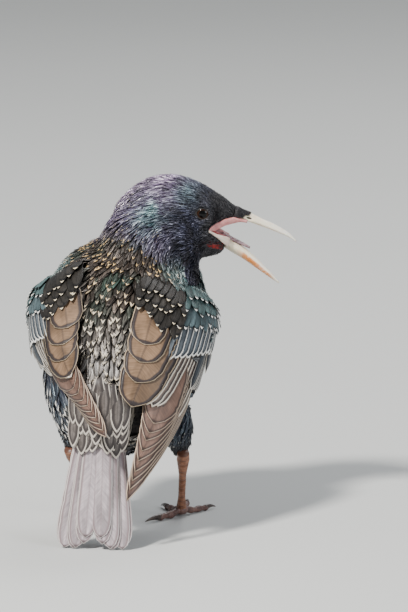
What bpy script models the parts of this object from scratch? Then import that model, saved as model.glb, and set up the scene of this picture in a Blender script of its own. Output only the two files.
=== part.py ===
"""A still, life-size starling that stands on its toes and tail, its head turned right and its bill open.

The bird faces +Y and its right side is +X. Sizes are worked out in millimetres and written in metres.
"""

import math

import bmesh
import bpy
import numpy as np

MM = 0.001
GAP = 0.3
FLOOR = 0.0

# The trunk: its lower end, how steeply it rises, and its sections as station, back, belly and half width.
TRUNK_START = np.array([0.0, -30.0, 45.0])
TRUNK_RISE = math.radians(48)
TRUNK_SECTIONS = [
    (-17.0, 7.0, -2.0, 6.5),
    (-10.0, 15.5, -8.0, 16.0),
    (0.0, 22.5, -14.0, 23.5),
    (12.0, 28.5, -20.5, 28.5),
    (26.0, 32.0, -25.5, 31.0),
    (42.0, 33.0, -27.5, 32.3),
    (56.0, 31.5, -27.5, 32.3),
    (70.0, 25.5, -25.0, 30.5),
    (80.0, 17.0, -20.0, 25.0),
    (88.0, 6.0, -11.0, 15.0),
]
TRUNK_SQUARENESS = 2.25

# The neck: points up its middle, with the half depth to nape and throat and the half width.
NECK_SECTIONS = [
    ((1.0, 0.0, 88.0), 17.0, 17.5),
    ((3.5, 4.5, 98.0), 21.5, 20.5),
    ((7.5, 10.0, 107.0), 22.5, 19.0),
    ((11.5, 15.0, 115.0), 20.5, 16.5),
    ((14.5, 19.0, 122.0), 17.0, 13.5),
]

# The head: its middle, its turn to the bird's right and its droop.
# Its sections are station, top, bottom and half width.
HEAD_MIDDLE = np.array([18.0, 22.0, 125.0])
HEAD_TURN = math.radians(80)
HEAD_DROOP = math.radians(12)
HEAD_SECTIONS = [
    (-24.5, -2.5, -8.0, 4.0),
    (-22.0, 2.2, -13.0, 8.5),
    (-17.0, 8.4, -17.0, 12.0),
    (-10.0, 13.4, -19.0, 13.8),
    (-2.0, 15.2, -19.5, 14.2),
    (5.0, 14.8, -19.0, 13.4),
    (11.0, 13.1, -18.0, 11.8),
    (16.5, 10.8, -16.2, 9.8),
    (21.5, 8.3, -13.6, 7.2),
    (26.0, 6.2, -11.0, 4.9),
]
MOUTH_CORNER = (15.2, -3.2)
MOUTH_TOP = (26.6, 2.3)
MOUTH_BOTTOM = (22.6, -5.3)
CHIN_FRONT = 22.3

BILL_TOP_SECTIONS = [
    (26.3, 6.3, 1.9, 4.5),
    (30.4, 5.6, 1.6, 3.7),
    (35.8, 4.2, 0.9, 3.0),
    (40.0, 3.3, 0.2, 2.5),
    (44.0, 2.1, -0.5, 1.9),
    (48.0, 0.5, -1.3, 1.2),
    (51.0, -1.6, -2.4, 0.4),
]
BILL_BOTTOM_SECTIONS = [
    (22.6, -5.3, -10.6, 4.4),
    (26.0, -6.6, -11.9, 3.8),
    (30.2, -8.2, -13.3, 3.2),
    (36.4, -11.6, -15.9, 2.5),
    (41.0, -14.7, -17.9, 1.8),
    (44.5, -17.2, -19.4, 1.2),
    (47.6, -19.8, -20.6, 0.4),
]
NOSTRIL_PLACE = (29.8, 3.8, 3.5)
NOSTRIL_SIZE = (1.5, 1.2, 0.75)
TONGUE_START = (20.5, -5.4)
TONGUE_END = (33.0, -8.4)

EYE_PLACE = (10.8, 7.7, 2.9)
EYE_RADIUS = 4.1
LID_RADIUS = 3.35
LID_THICKNESS = 0.75

# The wings, at each fifth of the way from wrist to tip: the edge by the back, the lower edge and the swell.
WING_RIGHT_EDGES = [
    ((16.0, 12.0, 110.5), (31.0, 30.0, 84.0), 5.0),
    ((10.0, -16.5, 105.5), (38.0, 8.0, 76.0), 9.8),
    ((6.5, -39.5, 86.5), (37.0, -14.5, 60.0), 10.2),
    ((6.0, -54.5, 62.5), (31.5, -37.0, 43.5), 6.0),
    ((11.5, -66.0, 23.0), (18.0, -64.0, 19.5), 0.5),
]
WING_LEFT_EDGES = [
    ((-19.0, 10.0, 111.5), (-36.0, 28.0, 84.0), 7.0),
    ((-12.0, -17.0, 106.5), (-38.5, 3.0, 77.0), 9.2),
    ((-5.5, -39.5, 86.0), (-33.0, -20.0, 65.5), 8.6),
    ((-2.5, -56.0, 69.0), (-15.0, -47.0, 57.0), 4.5),
    ((7.0, -74.0, 51.0), (1.0, -71.5, 46.5), 0.5),
]
WING_THICKNESS = 4.0
CORE_LENGTH = 0.62
CORE_DEPTH = 1.6

# Each wing's rows of feathers, by the first and the last one of each row.
# Roots and tips are (along, across) on the wing's face, and the lifts are heights over it.
WING_ROWS = {
    "right": [
        dict(
            kind="primary", count=8, roots=((0.5, 0.55), (0.4, 0.93)),
            tips=((0.8, 0.5), (1.0, 0.42)), widths=(17.0, 10.0),
            root_lifts=(-2.4, -5.2), tip_lifts=(-1.4, -3.6),
        ),
        dict(
            kind="secondary", count=6, roots=((0.42, 0.42), (0.38, 0.74)),
            tips=((0.757, 0.3), (0.735, 0.8)), widths=(9.0, 7.0),
            root_lifts=(-1.0, -3.0), tip_lifts=(-0.4, -2.0),
        ),
        dict(
            kind="tertial", count=4, roots=((0.3, 0.17), (0.42, 0.32)),
            tips=((0.545, 0.18), (0.77, 0.2)), widths=(15.0, 18.5),
            root_lifts=(0.2, -1.0), tip_lifts=(0.6, -0.4),
        ),
        dict(
            kind="greater_covert", count=7, roots=((0.3, 0.36), (0.2, 0.84)),
            tips=((0.575, 0.4), (0.4, 0.9)), widths=(7.0, 5.5),
            root_lifts=(-0.6, -0.6), tip_lifts=(0.3, -0.9),
        ),
        dict(
            kind="primary_covert", count=4, roots=((0.32, 0.8), (0.3, 0.92)),
            tips=((0.6, 0.8), (0.56, 0.96)), widths=(4.5, 4.0),
            root_lifts=(-1.4, -2.6), tip_lifts=(-1.0, -2.2),
        ),
        dict(
            kind="alula", count=2, roots=((0.24, 0.84), (0.22, 0.92)),
            tips=((0.48, 0.92), (0.42, 0.98)), widths=(4.0, 3.6),
            root_lifts=(-1.0, -1.6), tip_lifts=(-0.4, -1.0),
        ),
    ],
    "left": [
        dict(
            kind="primary", count=8, roots=((0.5, 0.55), (0.4, 0.93)),
            tips=((0.77, 0.58), (1.0, 0.42)), widths=(14.0, 9.5),
            root_lifts=(-2.4, -5.2), tip_lifts=(-1.4, -3.6),
        ),
        dict(
            kind="secondary", count=6, roots=((0.4, 0.42), (0.36, 0.74)),
            tips=((0.72, 0.4), (0.64, 0.84)), widths=(9.0, 7.0),
            root_lifts=(-1.0, -3.0), tip_lifts=(-0.4, -2.0),
        ),
        dict(
            kind="tertial", count=4, roots=((0.28, 0.18), (0.38, 0.3)),
            tips=((0.485, 0.19), (0.71, 0.46)), widths=(14.5, 15.5),
            root_lifts=(0.2, -1.0), tip_lifts=(0.6, -0.4),
        ),
        dict(
            kind="greater_covert", count=7, roots=((0.26, 0.36), (0.18, 0.84)),
            tips=((0.52, 0.38), (0.42, 0.9)), widths=(7.0, 5.5),
            root_lifts=(-0.6, -0.6), tip_lifts=(0.3, -0.9),
        ),
        dict(
            kind="primary_covert", count=4, roots=((0.32, 0.8), (0.3, 0.92)),
            tips=((0.58, 0.8), (0.54, 0.96)), widths=(4.5, 4.0),
            root_lifts=(-1.4, -2.6), tip_lifts=(-1.0, -2.2),
        ),
        dict(
            kind="alula", count=2, roots=((0.24, 0.84), (0.22, 0.92)),
            tips=((0.46, 0.92), (0.42, 0.98)), widths=(4.0, 3.6),
            root_lifts=(-1.0, -1.6), tip_lifts=(-0.4, -1.0),
        ),
    ],
}
WING_SWEEP = 1.8
OUTER_SWEEP = 4.4
VANE_THICKNESS = 0.62
VANE_CAMBER = 0.016
# A vane's outline: how far along it, and how much of its full width it has there.
ROUND_TIP = [(0.0, 0.45), (0.3, 1.0), (0.75, 1.0), (0.92, 0.72), (1.0, 0.22)]
SHORT_TIP = [(0.0, 0.5), (0.45, 1.0), (0.85, 0.85), (1.0, 0.25)]
SHARP_TIP = [(0.0, 0.45), (0.3, 0.85), (0.75, 1.0), (0.92, 0.62), (1.0, 0.15)]

TAIL_PAIRS = 6
TAIL_ROOT_SPREAD = (1.2, 6.0)
TAIL_TIP_SPREAD = (2.4, 13.0)
TAIL_FEATHER_WIDTH = (7.2, 6.0)
TAIL_LIFT = (1.2, -1.2)
TAIL_NOTCH = [5.0, 2.6, 0.8, 0.0, 0.4, 2.0]

TAIL_BASE = np.array([0.0, -47.0, 57.0])
TAIL_TIP = np.array([-0.7, -62.0, 0.0])
TAIL_BASE_WIDTH = 17.0
TAIL_ROOT_LENGTH = 26.0
TAIL_ROOT_THICKNESS = 13.0

# Each leg's hip, ankle and toe joint. The left foot is nearer the middle, hidden by the tail from behind.
LEGS = {
    "right": np.array([(20.0, 0.0, 47.0), (26.5, -8.0, 27.5), (22.5, 10.0, 3.3)]),
    "left": np.array([(-19.5, 0.0, 47.0), (-19.5, -8.0, 27.5), (-13.5, 9.5, 3.3)]),
}
THIGH_RADII = (10.5, 8.6, 3.4)
SHANK_RADIUS = 1.45
# Each toe: its heading from straight ahead towards the outer side, length, radius and claw's length.
TOES = [
    ("inner", -34.0, 15.0, 1.35, 6.0),
    ("middle", -4.0, 21.0, 1.45, 6.5),
    ("outer", 30.0, 16.0, 1.3, 6.0),
    ("hind", -146.0, 13.0, 1.5, 8.5),
]


def unit(vector):
    return vector / np.linalg.norm(vector)


def remove_all_objects():
    for item in list(bpy.data.objects):
        bpy.data.objects.remove(item)


def collection(name):
    made = bpy.data.collections.new(name)
    bpy.context.scene.collection.children.link(made)
    return made


def material(name, colour, roughness, metallic=0.0):
    made = bpy.data.materials.new(name)
    made.use_nodes = True
    shader = made.node_tree.nodes["Principled BSDF"]
    shader.inputs["Base Color"].default_value = (*colour, 1.0)
    shader.inputs["Roughness"].default_value = roughness
    shader.inputs["Metallic"].default_value = metallic
    return made


def object_from(name, points, faces):
    """A mesh object from points in millimetres, with its faces turned outwards."""
    mesh = bpy.data.meshes.new(name)
    mesh.from_pydata((np.asarray(points) * MM).tolist(), [], faces)
    made = bpy.data.objects.new(name, mesh)
    bpy.context.scene.collection.objects.link(made)
    shaped = bmesh.new()
    shaped.from_mesh(mesh)
    bmesh.ops.triangulate(shaped, faces=[f for f in shaped.faces if len(f.verts) > 4])
    bmesh.ops.recalc_face_normals(shaped, faces=shaped.faces)
    shaped.to_mesh(mesh)
    shaped.free()
    mesh.shade_smooth()
    return made


def smooth_rows(rows, count):
    """Rows of numbers read at count even places along a smooth curve, by their first column."""
    rows = np.array(rows, float)
    at = np.linspace(rows[0, 0], rows[-1, 0], count)
    slopes = np.gradient(rows, rows[:, 0], axis=0)
    found = []
    for x in at:
        i = int(np.clip(np.searchsorted(rows[:, 0], x) - 1, 0, len(rows) - 2))
        span = rows[i + 1, 0] - rows[i, 0]
        t = (x - rows[i, 0]) / span
        found.append(
            (2 * t**3 - 3 * t**2 + 1) * rows[i]
            + (t**3 - 2 * t**2 + t) * span * slopes[i]
            + (3 * t**2 - 2 * t**3) * rows[i + 1]
            + (t**3 - t**2) * span * slopes[i + 1]
        )
    return np.array(found)


def oval(middle, across, up, half_width, half_height, corners, squareness=2.0):
    """A closed ring of points round middle. A squareness over 2 fills the corners of the oval."""
    turn = np.arange(corners) * 2 * math.pi / corners
    side = np.sign(np.cos(turn)) * np.abs(np.cos(turn)) ** (2 / squareness) * half_width
    rise = np.sign(np.sin(turn)) * np.abs(np.sin(turn)) ** (2 / squareness) * half_height
    return middle + side[:, None] * across + rise[:, None] * up


def loft(name, rings):
    """A closed solid through rings of as many points each, with a flat end at each side."""
    corners = len(rings[0])
    faces = []
    for i in range(len(rings) - 1):
        for j in range(corners):
            k = (j + 1) % corners
            faces.append([i * corners + j, i * corners + k, (i + 1) * corners + k, (i + 1) * corners + j])
    faces.append(list(range(corners)))
    faces.append(list(range((len(rings) - 1) * corners, len(rings) * corners)))
    return object_from(name, np.concatenate(rings), faces)


def tube(name, path, radii, corners, flatness=1.0):
    """A round solid along a path of points, as wide as radii says at each."""
    path = np.array(path, float)
    along = np.gradient(path, axis=0)
    rings = []
    for middle, way, radius in zip(path, along, radii):
        side = unit(np.cross(way, [0.0, 0.31, 0.95]))
        up = unit(np.cross(side, way))
        rings.append(oval(middle, side, up, radius, radius * flatness, corners))
    return loft(name, rings)


def grown(item, by):
    """A copy of item with each point moved out along its normal, in millimetres."""
    copy = item.copy()
    copy.data = item.data.copy()
    bpy.context.scene.collection.objects.link(copy)
    normals = [v.normal.copy() for v in copy.data.vertices]
    for vertex, normal in zip(copy.data.vertices, normals):
        vertex.co += normal * (by * MM)
    return copy


def boolean(item, others, operation, solver="EXACT"):
    """Joins others to item or cuts them from it, applies that and removes them."""
    group = bpy.data.collections.new("tools")
    for other in others:
        group.objects.link(other)
    modifier = item.modifiers.new(operation.lower(), "BOOLEAN")
    modifier.operation = operation
    modifier.operand_type = "COLLECTION"
    modifier.collection = group
    modifier.solver = solver
    bpy.context.view_layer.update()
    graph = bpy.context.evaluated_depsgraph_get()
    mesh = bpy.data.meshes.new_from_object(item.evaluated_get(graph))
    item.modifiers.clear()
    item.data = mesh
    for other in others:
        bpy.data.objects.remove(other)
    bpy.data.collections.remove(group)


def keep_largest(item):
    """Leaves only the closed surface that holds the most."""
    shaped = bmesh.new()
    shaped.from_mesh(item.data)
    unseen = set(shaped.verts)
    islands = []
    while unseen:
        island, todo = set(), [unseen.pop()]
        while todo:
            vertex = todo.pop()
            island.add(vertex)
            for edge in vertex.link_edges:
                other = edge.other_vert(vertex)
                if other in unseen:
                    unseen.discard(other)
                    todo.append(other)
        islands.append(island)
    islands.sort(key=len)
    for island in islands[:-1]:
        bmesh.ops.delete(shaped, geom=list(island), context="VERTS")
    shaped.to_mesh(item.data)
    shaped.free()


def box_at(name, low, high):
    """A box between two corners in millimetres."""
    bpy.ops.mesh.primitive_cube_add(size=1)
    made = bpy.context.object
    made.name = name
    low, high = np.array(low, float), np.array(high, float)
    for vertex in made.data.vertices:
        vertex.co = [(low[i] + (vertex.co[i] + 0.5) * (high[i] - low[i])) * MM for i in range(3)]
    return made


def ball_at(name, place, radii, axes=None, segments=16, rings=10):
    """An ellipsoid at a place in millimetres. Its third axis, with the poles, can be turned with axes."""
    bpy.ops.mesh.primitive_uv_sphere_add(segments=segments, ring_count=rings, radius=1)
    made = bpy.context.object
    made.name = name
    axes = np.eye(3) if axes is None else np.array(axes)
    for vertex in made.data.vertices:
        spot = sum(vertex.co[i] * radii[i] * axes[i] for i in range(3))
        vertex.co = (np.array(place) + spot) * MM
    if np.linalg.det(axes) < 0:
        made.data.flip_normals()
    made.data.shade_smooth()
    return made


def trunk_point(station, height, side=0.0):
    along = np.array([0.0, math.cos(TRUNK_RISE), math.sin(TRUNK_RISE)])
    back = np.array([0.0, -math.sin(TRUNK_RISE), math.cos(TRUNK_RISE)])
    return TRUNK_START + station * along + height * back + np.array([side, 0.0, 0.0])


def make_torso(name):
    back = trunk_point(0, 1) - trunk_point(0, 0)
    rings = []
    for station, top, bottom, half_width in smooth_rows(TRUNK_SECTIONS, 17):
        middle = trunk_point(station, (top + bottom) / 2)
        across = np.array([1.0, 0.0, 0.0])
        rings.append(oval(middle, across, back, half_width, (top - bottom) / 2, 24, TRUNK_SQUARENESS))
    return loft(name, rings)


def head_axes():
    heading = np.array([math.sin(HEAD_TURN), math.cos(HEAD_TURN), 0.0])
    left = np.array([-heading[1], heading[0], 0.0])
    ahead = heading * math.cos(HEAD_DROOP) - np.array([0.0, 0.0, math.sin(HEAD_DROOP)])
    return ahead, left, np.cross(ahead, left)


def head_point(station, left, height):
    ahead, side, up = head_axes()
    return HEAD_MIDDLE + station * ahead + left * side + height * up


def head_loft(name, sections, count, corners, squareness=2.0):
    ahead, side, up = head_axes()
    rings = []
    for station, top, bottom, half_width in smooth_rows(sections, count):
        middle = head_point(station, 0, (top + bottom) / 2)
        rings.append(oval(middle, side, up, half_width, (top - bottom) / 2, corners, squareness))
    return loft(name, rings)


def head_prism(name, outline, half_width):
    """A solid with this outline of station and height, half_width to both sides of the head's middle."""
    rings = [[head_point(s, side, h) for s, h in outline] for side in (-half_width, half_width)]
    return loft(name, np.array(rings))


def make_neck(name):
    ahead, side, up = head_axes()
    rows = [(i, *place, depth, width) for i, (place, depth, width) in enumerate(NECK_SECTIONS)]
    rows = smooth_rows(rows, 11)
    path = rows[:, 1:4]
    ways = np.gradient(path, axis=0)
    rings = []
    for i, (middle, way, depth, width) in enumerate(zip(path, ways, rows[:, 4], rows[:, 5])):
        share = i / (len(rows) - 1)
        flat_ahead = np.array([ahead[0], ahead[1], 0.0])
        to_throat = unit(np.array([0.0, 1.0, 0.0]) * (1 - share) + flat_ahead * share)
        across = unit(np.cross(way, to_throat))
        forward = unit(np.cross(across, way))
        rings.append(oval(middle, forward, across, depth, width, 22))
    return loft(name, rings)


def make_head(name, eyes):
    ahead, side, up = head_axes()
    head = head_loft(name, HEAD_SECTIONS, 14, 20, 2.1)
    lids = []
    for way in (-1, 1):
        place = head_point(EYE_PLACE[0], way * EYE_PLACE[1], EYE_PLACE[2])
        reach = math.sqrt(EYE_RADIUS**2 - LID_RADIUS**2) + 0.9
        bpy.ops.mesh.primitive_torus_add(
            major_segments=18,
            minor_segments=5,
            major_radius=LID_RADIUS * MM,
            minor_radius=LID_THICKNESS * MM,
        )
        lid = bpy.context.object
        for vertex in lid.data.vertices:
            x, y, z = vertex.co
            spot = place + way * side * reach + (x * ahead + y * up * 0.86 - z * way * side) / MM
            vertex.co = spot * MM
        lids.append(lid)
    boolean(head, lids, "UNION")
    apex, top, bottom = MOUTH_CORNER, MOUTH_TOP, MOUTH_BOTTOM
    wedge = [
        (apex[0], apex[1] - 0.4),
        (apex[0] - 0.5, apex[1] + 0.1),
        (apex[0] + 0.6, apex[1] + 1.3),
        (top[0] - 6.0, top[1] - 0.5),
        (top[0] + 4.0, top[1] + 0.2),
        (top[0] + 4.0, -30.0),
        (CHIN_FRONT, -30.0),
        (CHIN_FRONT, bottom[1]),
    ]
    cutters = [head_prism("mouth", wedge, 22)]
    cutters += [grown(eye, GAP) for eye in eyes]
    boolean(head, cutters, "DIFFERENCE")
    keep_largest(head)
    return head


def make_eye(name, way):
    ahead, side, up = head_axes()
    place = head_point(EYE_PLACE[0], way * EYE_PLACE[1], EYE_PLACE[2])
    return ball_at(name, place, [EYE_RADIUS] * 3, [ahead, up, side])


def make_bill(name, sections, nostrils):
    bill = head_loft(name, sections, 12, 16, 2.0)
    ahead, side, up = head_axes()
    if nostrils:
        cutters = []
        for way in (-1, 1):
            place = head_point(NOSTRIL_PLACE[0], way * NOSTRIL_PLACE[2], NOSTRIL_PLACE[1])
            cutters.append(ball_at("nostril", place, NOSTRIL_SIZE, [ahead, side, up], 12, 8))
        boolean(bill, cutters, "DIFFERENCE")
    return bill


def make_tongue(name, bill, head):
    """A tapered tongue that lies on the lower bill and starts inside the mouth."""
    count = 7
    rings = []
    ahead, side, up = head_axes()
    for i in range(count):
        t = i / (count - 1)
        station = TONGUE_START[0] + t * (TONGUE_END[0] - TONGUE_START[0])
        height = TONGUE_START[1] + t * (TONGUE_END[1] - TONGUE_START[1])
        half = 2.2 * (1 - 0.75 * t**2)
        rings.append(oval(head_point(station, 0, height), side, up, half, 1.1 - 0.5 * t, 12))
    tongue = loft(name, rings)
    boolean(tongue, [grown(bill, GAP)], "DIFFERENCE")
    boolean(tongue, [grown(head, GAP)], "DIFFERENCE")
    keep_largest(tongue)
    return tongue


def wing_rows(edges, count):
    rows = [(i / (len(edges) - 1), *near, *far, swell) for i, (near, far, swell) in enumerate(edges)]
    return smooth_rows(rows, count)


def wing_surface(edges, along, across):
    """A point on the wing's outer face. Along is 1 at the tip, and across is 1 at the lower edge."""
    rows = wing_rows(edges, 41)
    place = np.array([np.interp(along, rows[:, 0], rows[:, i]) for i in range(1, 8)])
    near, far, swell = place[:3], place[3:6], place[6]
    trunk = trunk_point(45, 2)
    out = (near + far) / 2 - trunk
    middle_way = np.array([0.0, math.cos(TRUNK_RISE), math.sin(TRUNK_RISE)])
    out = unit(out - np.dot(out, middle_way) * middle_way)
    return near + (far - near) * across + out * swell * 4 * across * (1 - across)


def wing_normal(edges, along, across):
    step = 0.02
    further, nearer = min(along + step, 1), max(along - step, 0)
    down = wing_surface(edges, further, across) - wing_surface(edges, nearer, across)
    lower, upper = min(across + step, 1), max(across - step, 0)
    over = wing_surface(edges, along, lower) - wing_surface(edges, along, upper)
    normal = unit(np.cross(down, over))
    trunk = trunk_point(45, 2)
    return normal if np.dot(normal, wing_surface(edges, along, across) - trunk) > 0 else -normal


def make_vane(name, places, normals, width, outline):
    """A thin curved feather vane along places, whose two faces are split into triangles alike."""
    places, normals = np.array(places), np.array(normals)
    ways = np.gradient(places, axis=0)
    top, bottom = [], []
    for (_, share), place, normal, way in zip(outline, places, normals, ways):
        across = unit(np.cross(way, normal))
        normal = unit(np.cross(across, way))
        half = width * share / 2
        for side in (-1, 0, 1):
            spot = place + across * side * half - normal * VANE_CAMBER * (side * half) ** 2
            top.append(spot + normal * VANE_THICKNESS / 2)
            bottom.append(spot - normal * VANE_THICKNESS / 2)
    stations, under = len(outline), 3 * len(outline)
    faces = []
    for i in range(stations - 1):
        for j in range(2):
            a, b = 3 * i + j, 3 * i + j + 1
            c, d = a + 3, b + 3
            faces += [[a, b, d], [a, d, c]]
            faces += [[under + b, under + a, under + d], [under + a, under + c, under + d]]
        for j in (0, 2):
            a, c = 3 * i + j, 3 * i + 3 + j
            faces += [[a, c, under + a], [c, under + c, under + a]]
    for i in (0, stations - 1):
        for j in range(2):
            a, b = 3 * i + j, 3 * i + j + 1
            faces += [[a, b, under + a], [b, under + b, under + a]]
    return object_from(name, np.array(top + bottom), faces)


def share_of(pair, share):
    return np.array(pair[0]) + (np.array(pair[1]) - np.array(pair[0])) * share


def wing_vanes(side, edges):
    vanes = []
    for row in WING_ROWS[side]:
        kind, count = row["kind"], row["count"]
        outline = SHORT_TIP if "covert" in kind or kind == "alula" else ROUND_TIP
        outline = SHARP_TIP if kind == "primary" else outline
        for i in range(count):
            share = i / (count - 1)
            root, tip = share_of(row["roots"], share), share_of(row["tips"], share)
            lifts = share_of(row["root_lifts"], share), share_of(row["tip_lifts"], share)
            sweep = share_of((WING_SWEEP, OUTER_SWEEP), share) if kind == "primary" else WING_SWEEP
            places, normals = [], []
            for along, _ in outline:
                spot = root + (tip - root) * np.array([along, along**sweep])
                normal = wing_normal(edges, *spot)
                height = lifts[0] + (lifts[1] - lifts[0]) * along
                places.append(wing_surface(edges, *spot) + normal * height)
                normals.append(normal)
            vanes.append(make_vane(kind, places, normals, share_of(row["widths"], share), outline))
    return vanes


def make_wing(name, edges, torso, tail):
    """A padded core under rows of overlapping vanes, fused and cut clear of the trunk."""
    stations, corners = 10, 9
    rings = []
    for i in range(stations):
        along = CORE_LENGTH * i / (stations - 1)
        outer, inner = [], []
        for j in range(corners):
            across = j / (corners - 1)
            place = wing_surface(edges, along, across)
            normal = wing_normal(edges, along, across)
            sink = CORE_DEPTH * min(1.0, along / 0.25)
            thick = 1.2 + WING_THICKNESS * math.sin(math.pi * across) * (1 - 0.6 * along / CORE_LENGTH)
            thick *= min(1.0, 0.3 + 0.7 * (along / 0.12) ** 0.5)
            outer.append(place - normal * sink)
            inner.append(place - normal * (sink + thick))
        rings.append(outer + inner[::-1])
    wing = loft(name, np.array(rings))
    boolean(wing, wing_vanes(name.split("_")[1], edges), "UNION")
    boolean(wing, [grown(torso, GAP), grown(tail, GAP)], "DIFFERENCE")
    keep_largest(wing)
    return wing


def tail_axes():
    along = unit(TAIL_TIP - TAIL_BASE)
    across = np.array([1.0, 0.0, 0.0])
    out = unit(np.cross(across, along))
    return along, across, out if out[1] < 0 else -out


def tail_vanes():
    """Six feathers a side. The middle pair lies on top, and the tips of the longest reach the floor."""
    along, across, out = tail_axes()
    length = np.linalg.norm(TAIL_TIP - TAIL_BASE) + 0.6
    vanes = []
    for i in reversed(range(TAIL_PAIRS)):
        share = i / (TAIL_PAIRS - 1)
        for side in (-1, 1):
            lift = share_of(TAIL_LIFT, share) + 0.12 * side
            root = TAIL_BASE + across * side * share_of(TAIL_ROOT_SPREAD, share) + along * 6.0
            tip = TAIL_BASE + across * side * share_of(TAIL_TIP_SPREAD, share)
            tip = tip + along * (length - TAIL_NOTCH[i])
            places = [root + (tip - root) * t + out * lift for t, _ in ROUND_TIP]
            width = share_of(TAIL_FEATHER_WIDTH, share)
            vanes.append(make_vane("rectrix", places, [out] * len(places), width, ROUND_TIP))
    return vanes


def make_tail(name, torso):
    """The rump's tapering root with the tail feathers fused into it."""
    ways = 6
    rings = []
    along, across, out = tail_axes()
    for i in range(ways):
        t = i / (ways - 1) * TAIL_ROOT_LENGTH
        middle = TAIL_BASE + along * t
        width = TAIL_BASE_WIDTH + 2.5 * t / TAIL_ROOT_LENGTH
        thick = TAIL_ROOT_THICKNESS * (1 - 0.78 * t / TAIL_ROOT_LENGTH)
        rings.append(oval(middle, across, out, width / 2, thick / 2, 16, 2.6))
    tail = loft(name, rings)
    boolean(tail, tail_vanes(), "UNION")
    boolean(tail, [grown(torso, GAP)], "DIFFERENCE")
    boolean(tail, [box_at("floor", (-60, -120, -30), (60, 60, FLOOR))], "DIFFERENCE")
    keep_largest(tail)
    return tail


def make_thigh(name, side, torso, shank):
    hip, ankle, _ = LEGS[side]
    path = [hip + (ankle - hip) * t for t in np.linspace(0, 1, 7)]
    radii = np.interp(np.linspace(0, 1, 7), [0, 0.4, 1], THIGH_RADII)
    thigh = tube(name, path, radii, 14)
    boolean(thigh, [grown(torso, GAP), grown(shank, GAP)], "DIFFERENCE")
    keep_largest(thigh)
    return thigh


def make_shank(name, side):
    _, ankle, joint = LEGS[side]
    start = ankle - unit(joint - ankle) * 1.2
    end = joint - unit(joint - ankle) * 1.7
    path = [start + (end - start) * t for t in np.linspace(0, 1, 8)]
    radii = [2.5, 2.1, 1.5, SHANK_RADIUS, SHANK_RADIUS, SHANK_RADIUS, 1.6, 1.8]
    return tube(name, path, radii, 12)


def toe_way(heading, side):
    turn = math.radians(heading)
    return np.array([math.sin(turn) * (1 if side == "right" else -1), math.cos(turn), 0.0])


def make_foot(name, side, shank):
    """The four toes, fused at their joint, with soles that are flat on the floor."""
    joint = LEGS[side][2]
    foot = ball_at(name, joint - np.array([0, 0, 0.6]), [2.6, 2.6, 2.0], None, 12, 7)
    toes = []
    for toe, heading, length, radius, _ in TOES:
        ahead = toe_way(heading, side)
        path, radii = [], []
        for t in np.linspace(0, 1, 9):
            rise = 1.3 * (1 - t) + 0.5 * math.sin(math.pi * 3 * t) * (1 - t) + radius * 0.8
            place = joint * np.array([1, 1, 0]) + ahead * length * t
            path.append(place + np.array([0, 0, rise]))
            radii.append(radius * (1 - 0.22 * t) * (1 + 0.1 * math.cos(math.pi * 6 * t)))
        toes.append(tube(toe, path, radii, 8))
    boolean(foot, toes, "UNION")
    boolean(foot, [box_at("floor", (-60, -120, -30), (60, 60, FLOOR)), grown(shank, GAP)], "DIFFERENCE")
    keep_largest(foot)
    return foot


def make_claw(name, side, toe):
    """A curved claw in line with its toe, its point a little above the floor."""
    _, heading, length, radius, claw = toe
    joint = LEGS[side][2] * np.array([1, 1, 0])
    ahead = toe_way(heading, side)
    path, radii = [], []
    for t in np.linspace(0, 1, 7):
        lift = radius * 0.85 + 0.75 * math.sin(math.pi * 0.62 * t + 0.2) - 1.15 * t**2
        path.append(joint + ahead * (length + GAP * 1.5 + claw * 0.93 * t) + np.array([0, 0, lift]))
        radii.append(0.72 * radius * (1 - t) ** 0.8 + 0.12)
    return tube(name, path, radii, 8)


def set_origin(items):
    """Moves everything so that the middle of the underside of its box is the origin."""
    points = np.array([v.co for item in items for v in item.data.vertices])
    low, high = points.min(axis=0), points.max(axis=0)
    shift = [-(low[0] + high[0]) / 2, -(low[1] + high[1]) / 2, -low[2]]
    for item in items:
        for vertex in item.data.vertices:
            vertex.co = [vertex.co[i] + shift[i] for i in range(3)]
    print("moved by", [round(x / MM, 3) for x in shift], "mm")


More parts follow.
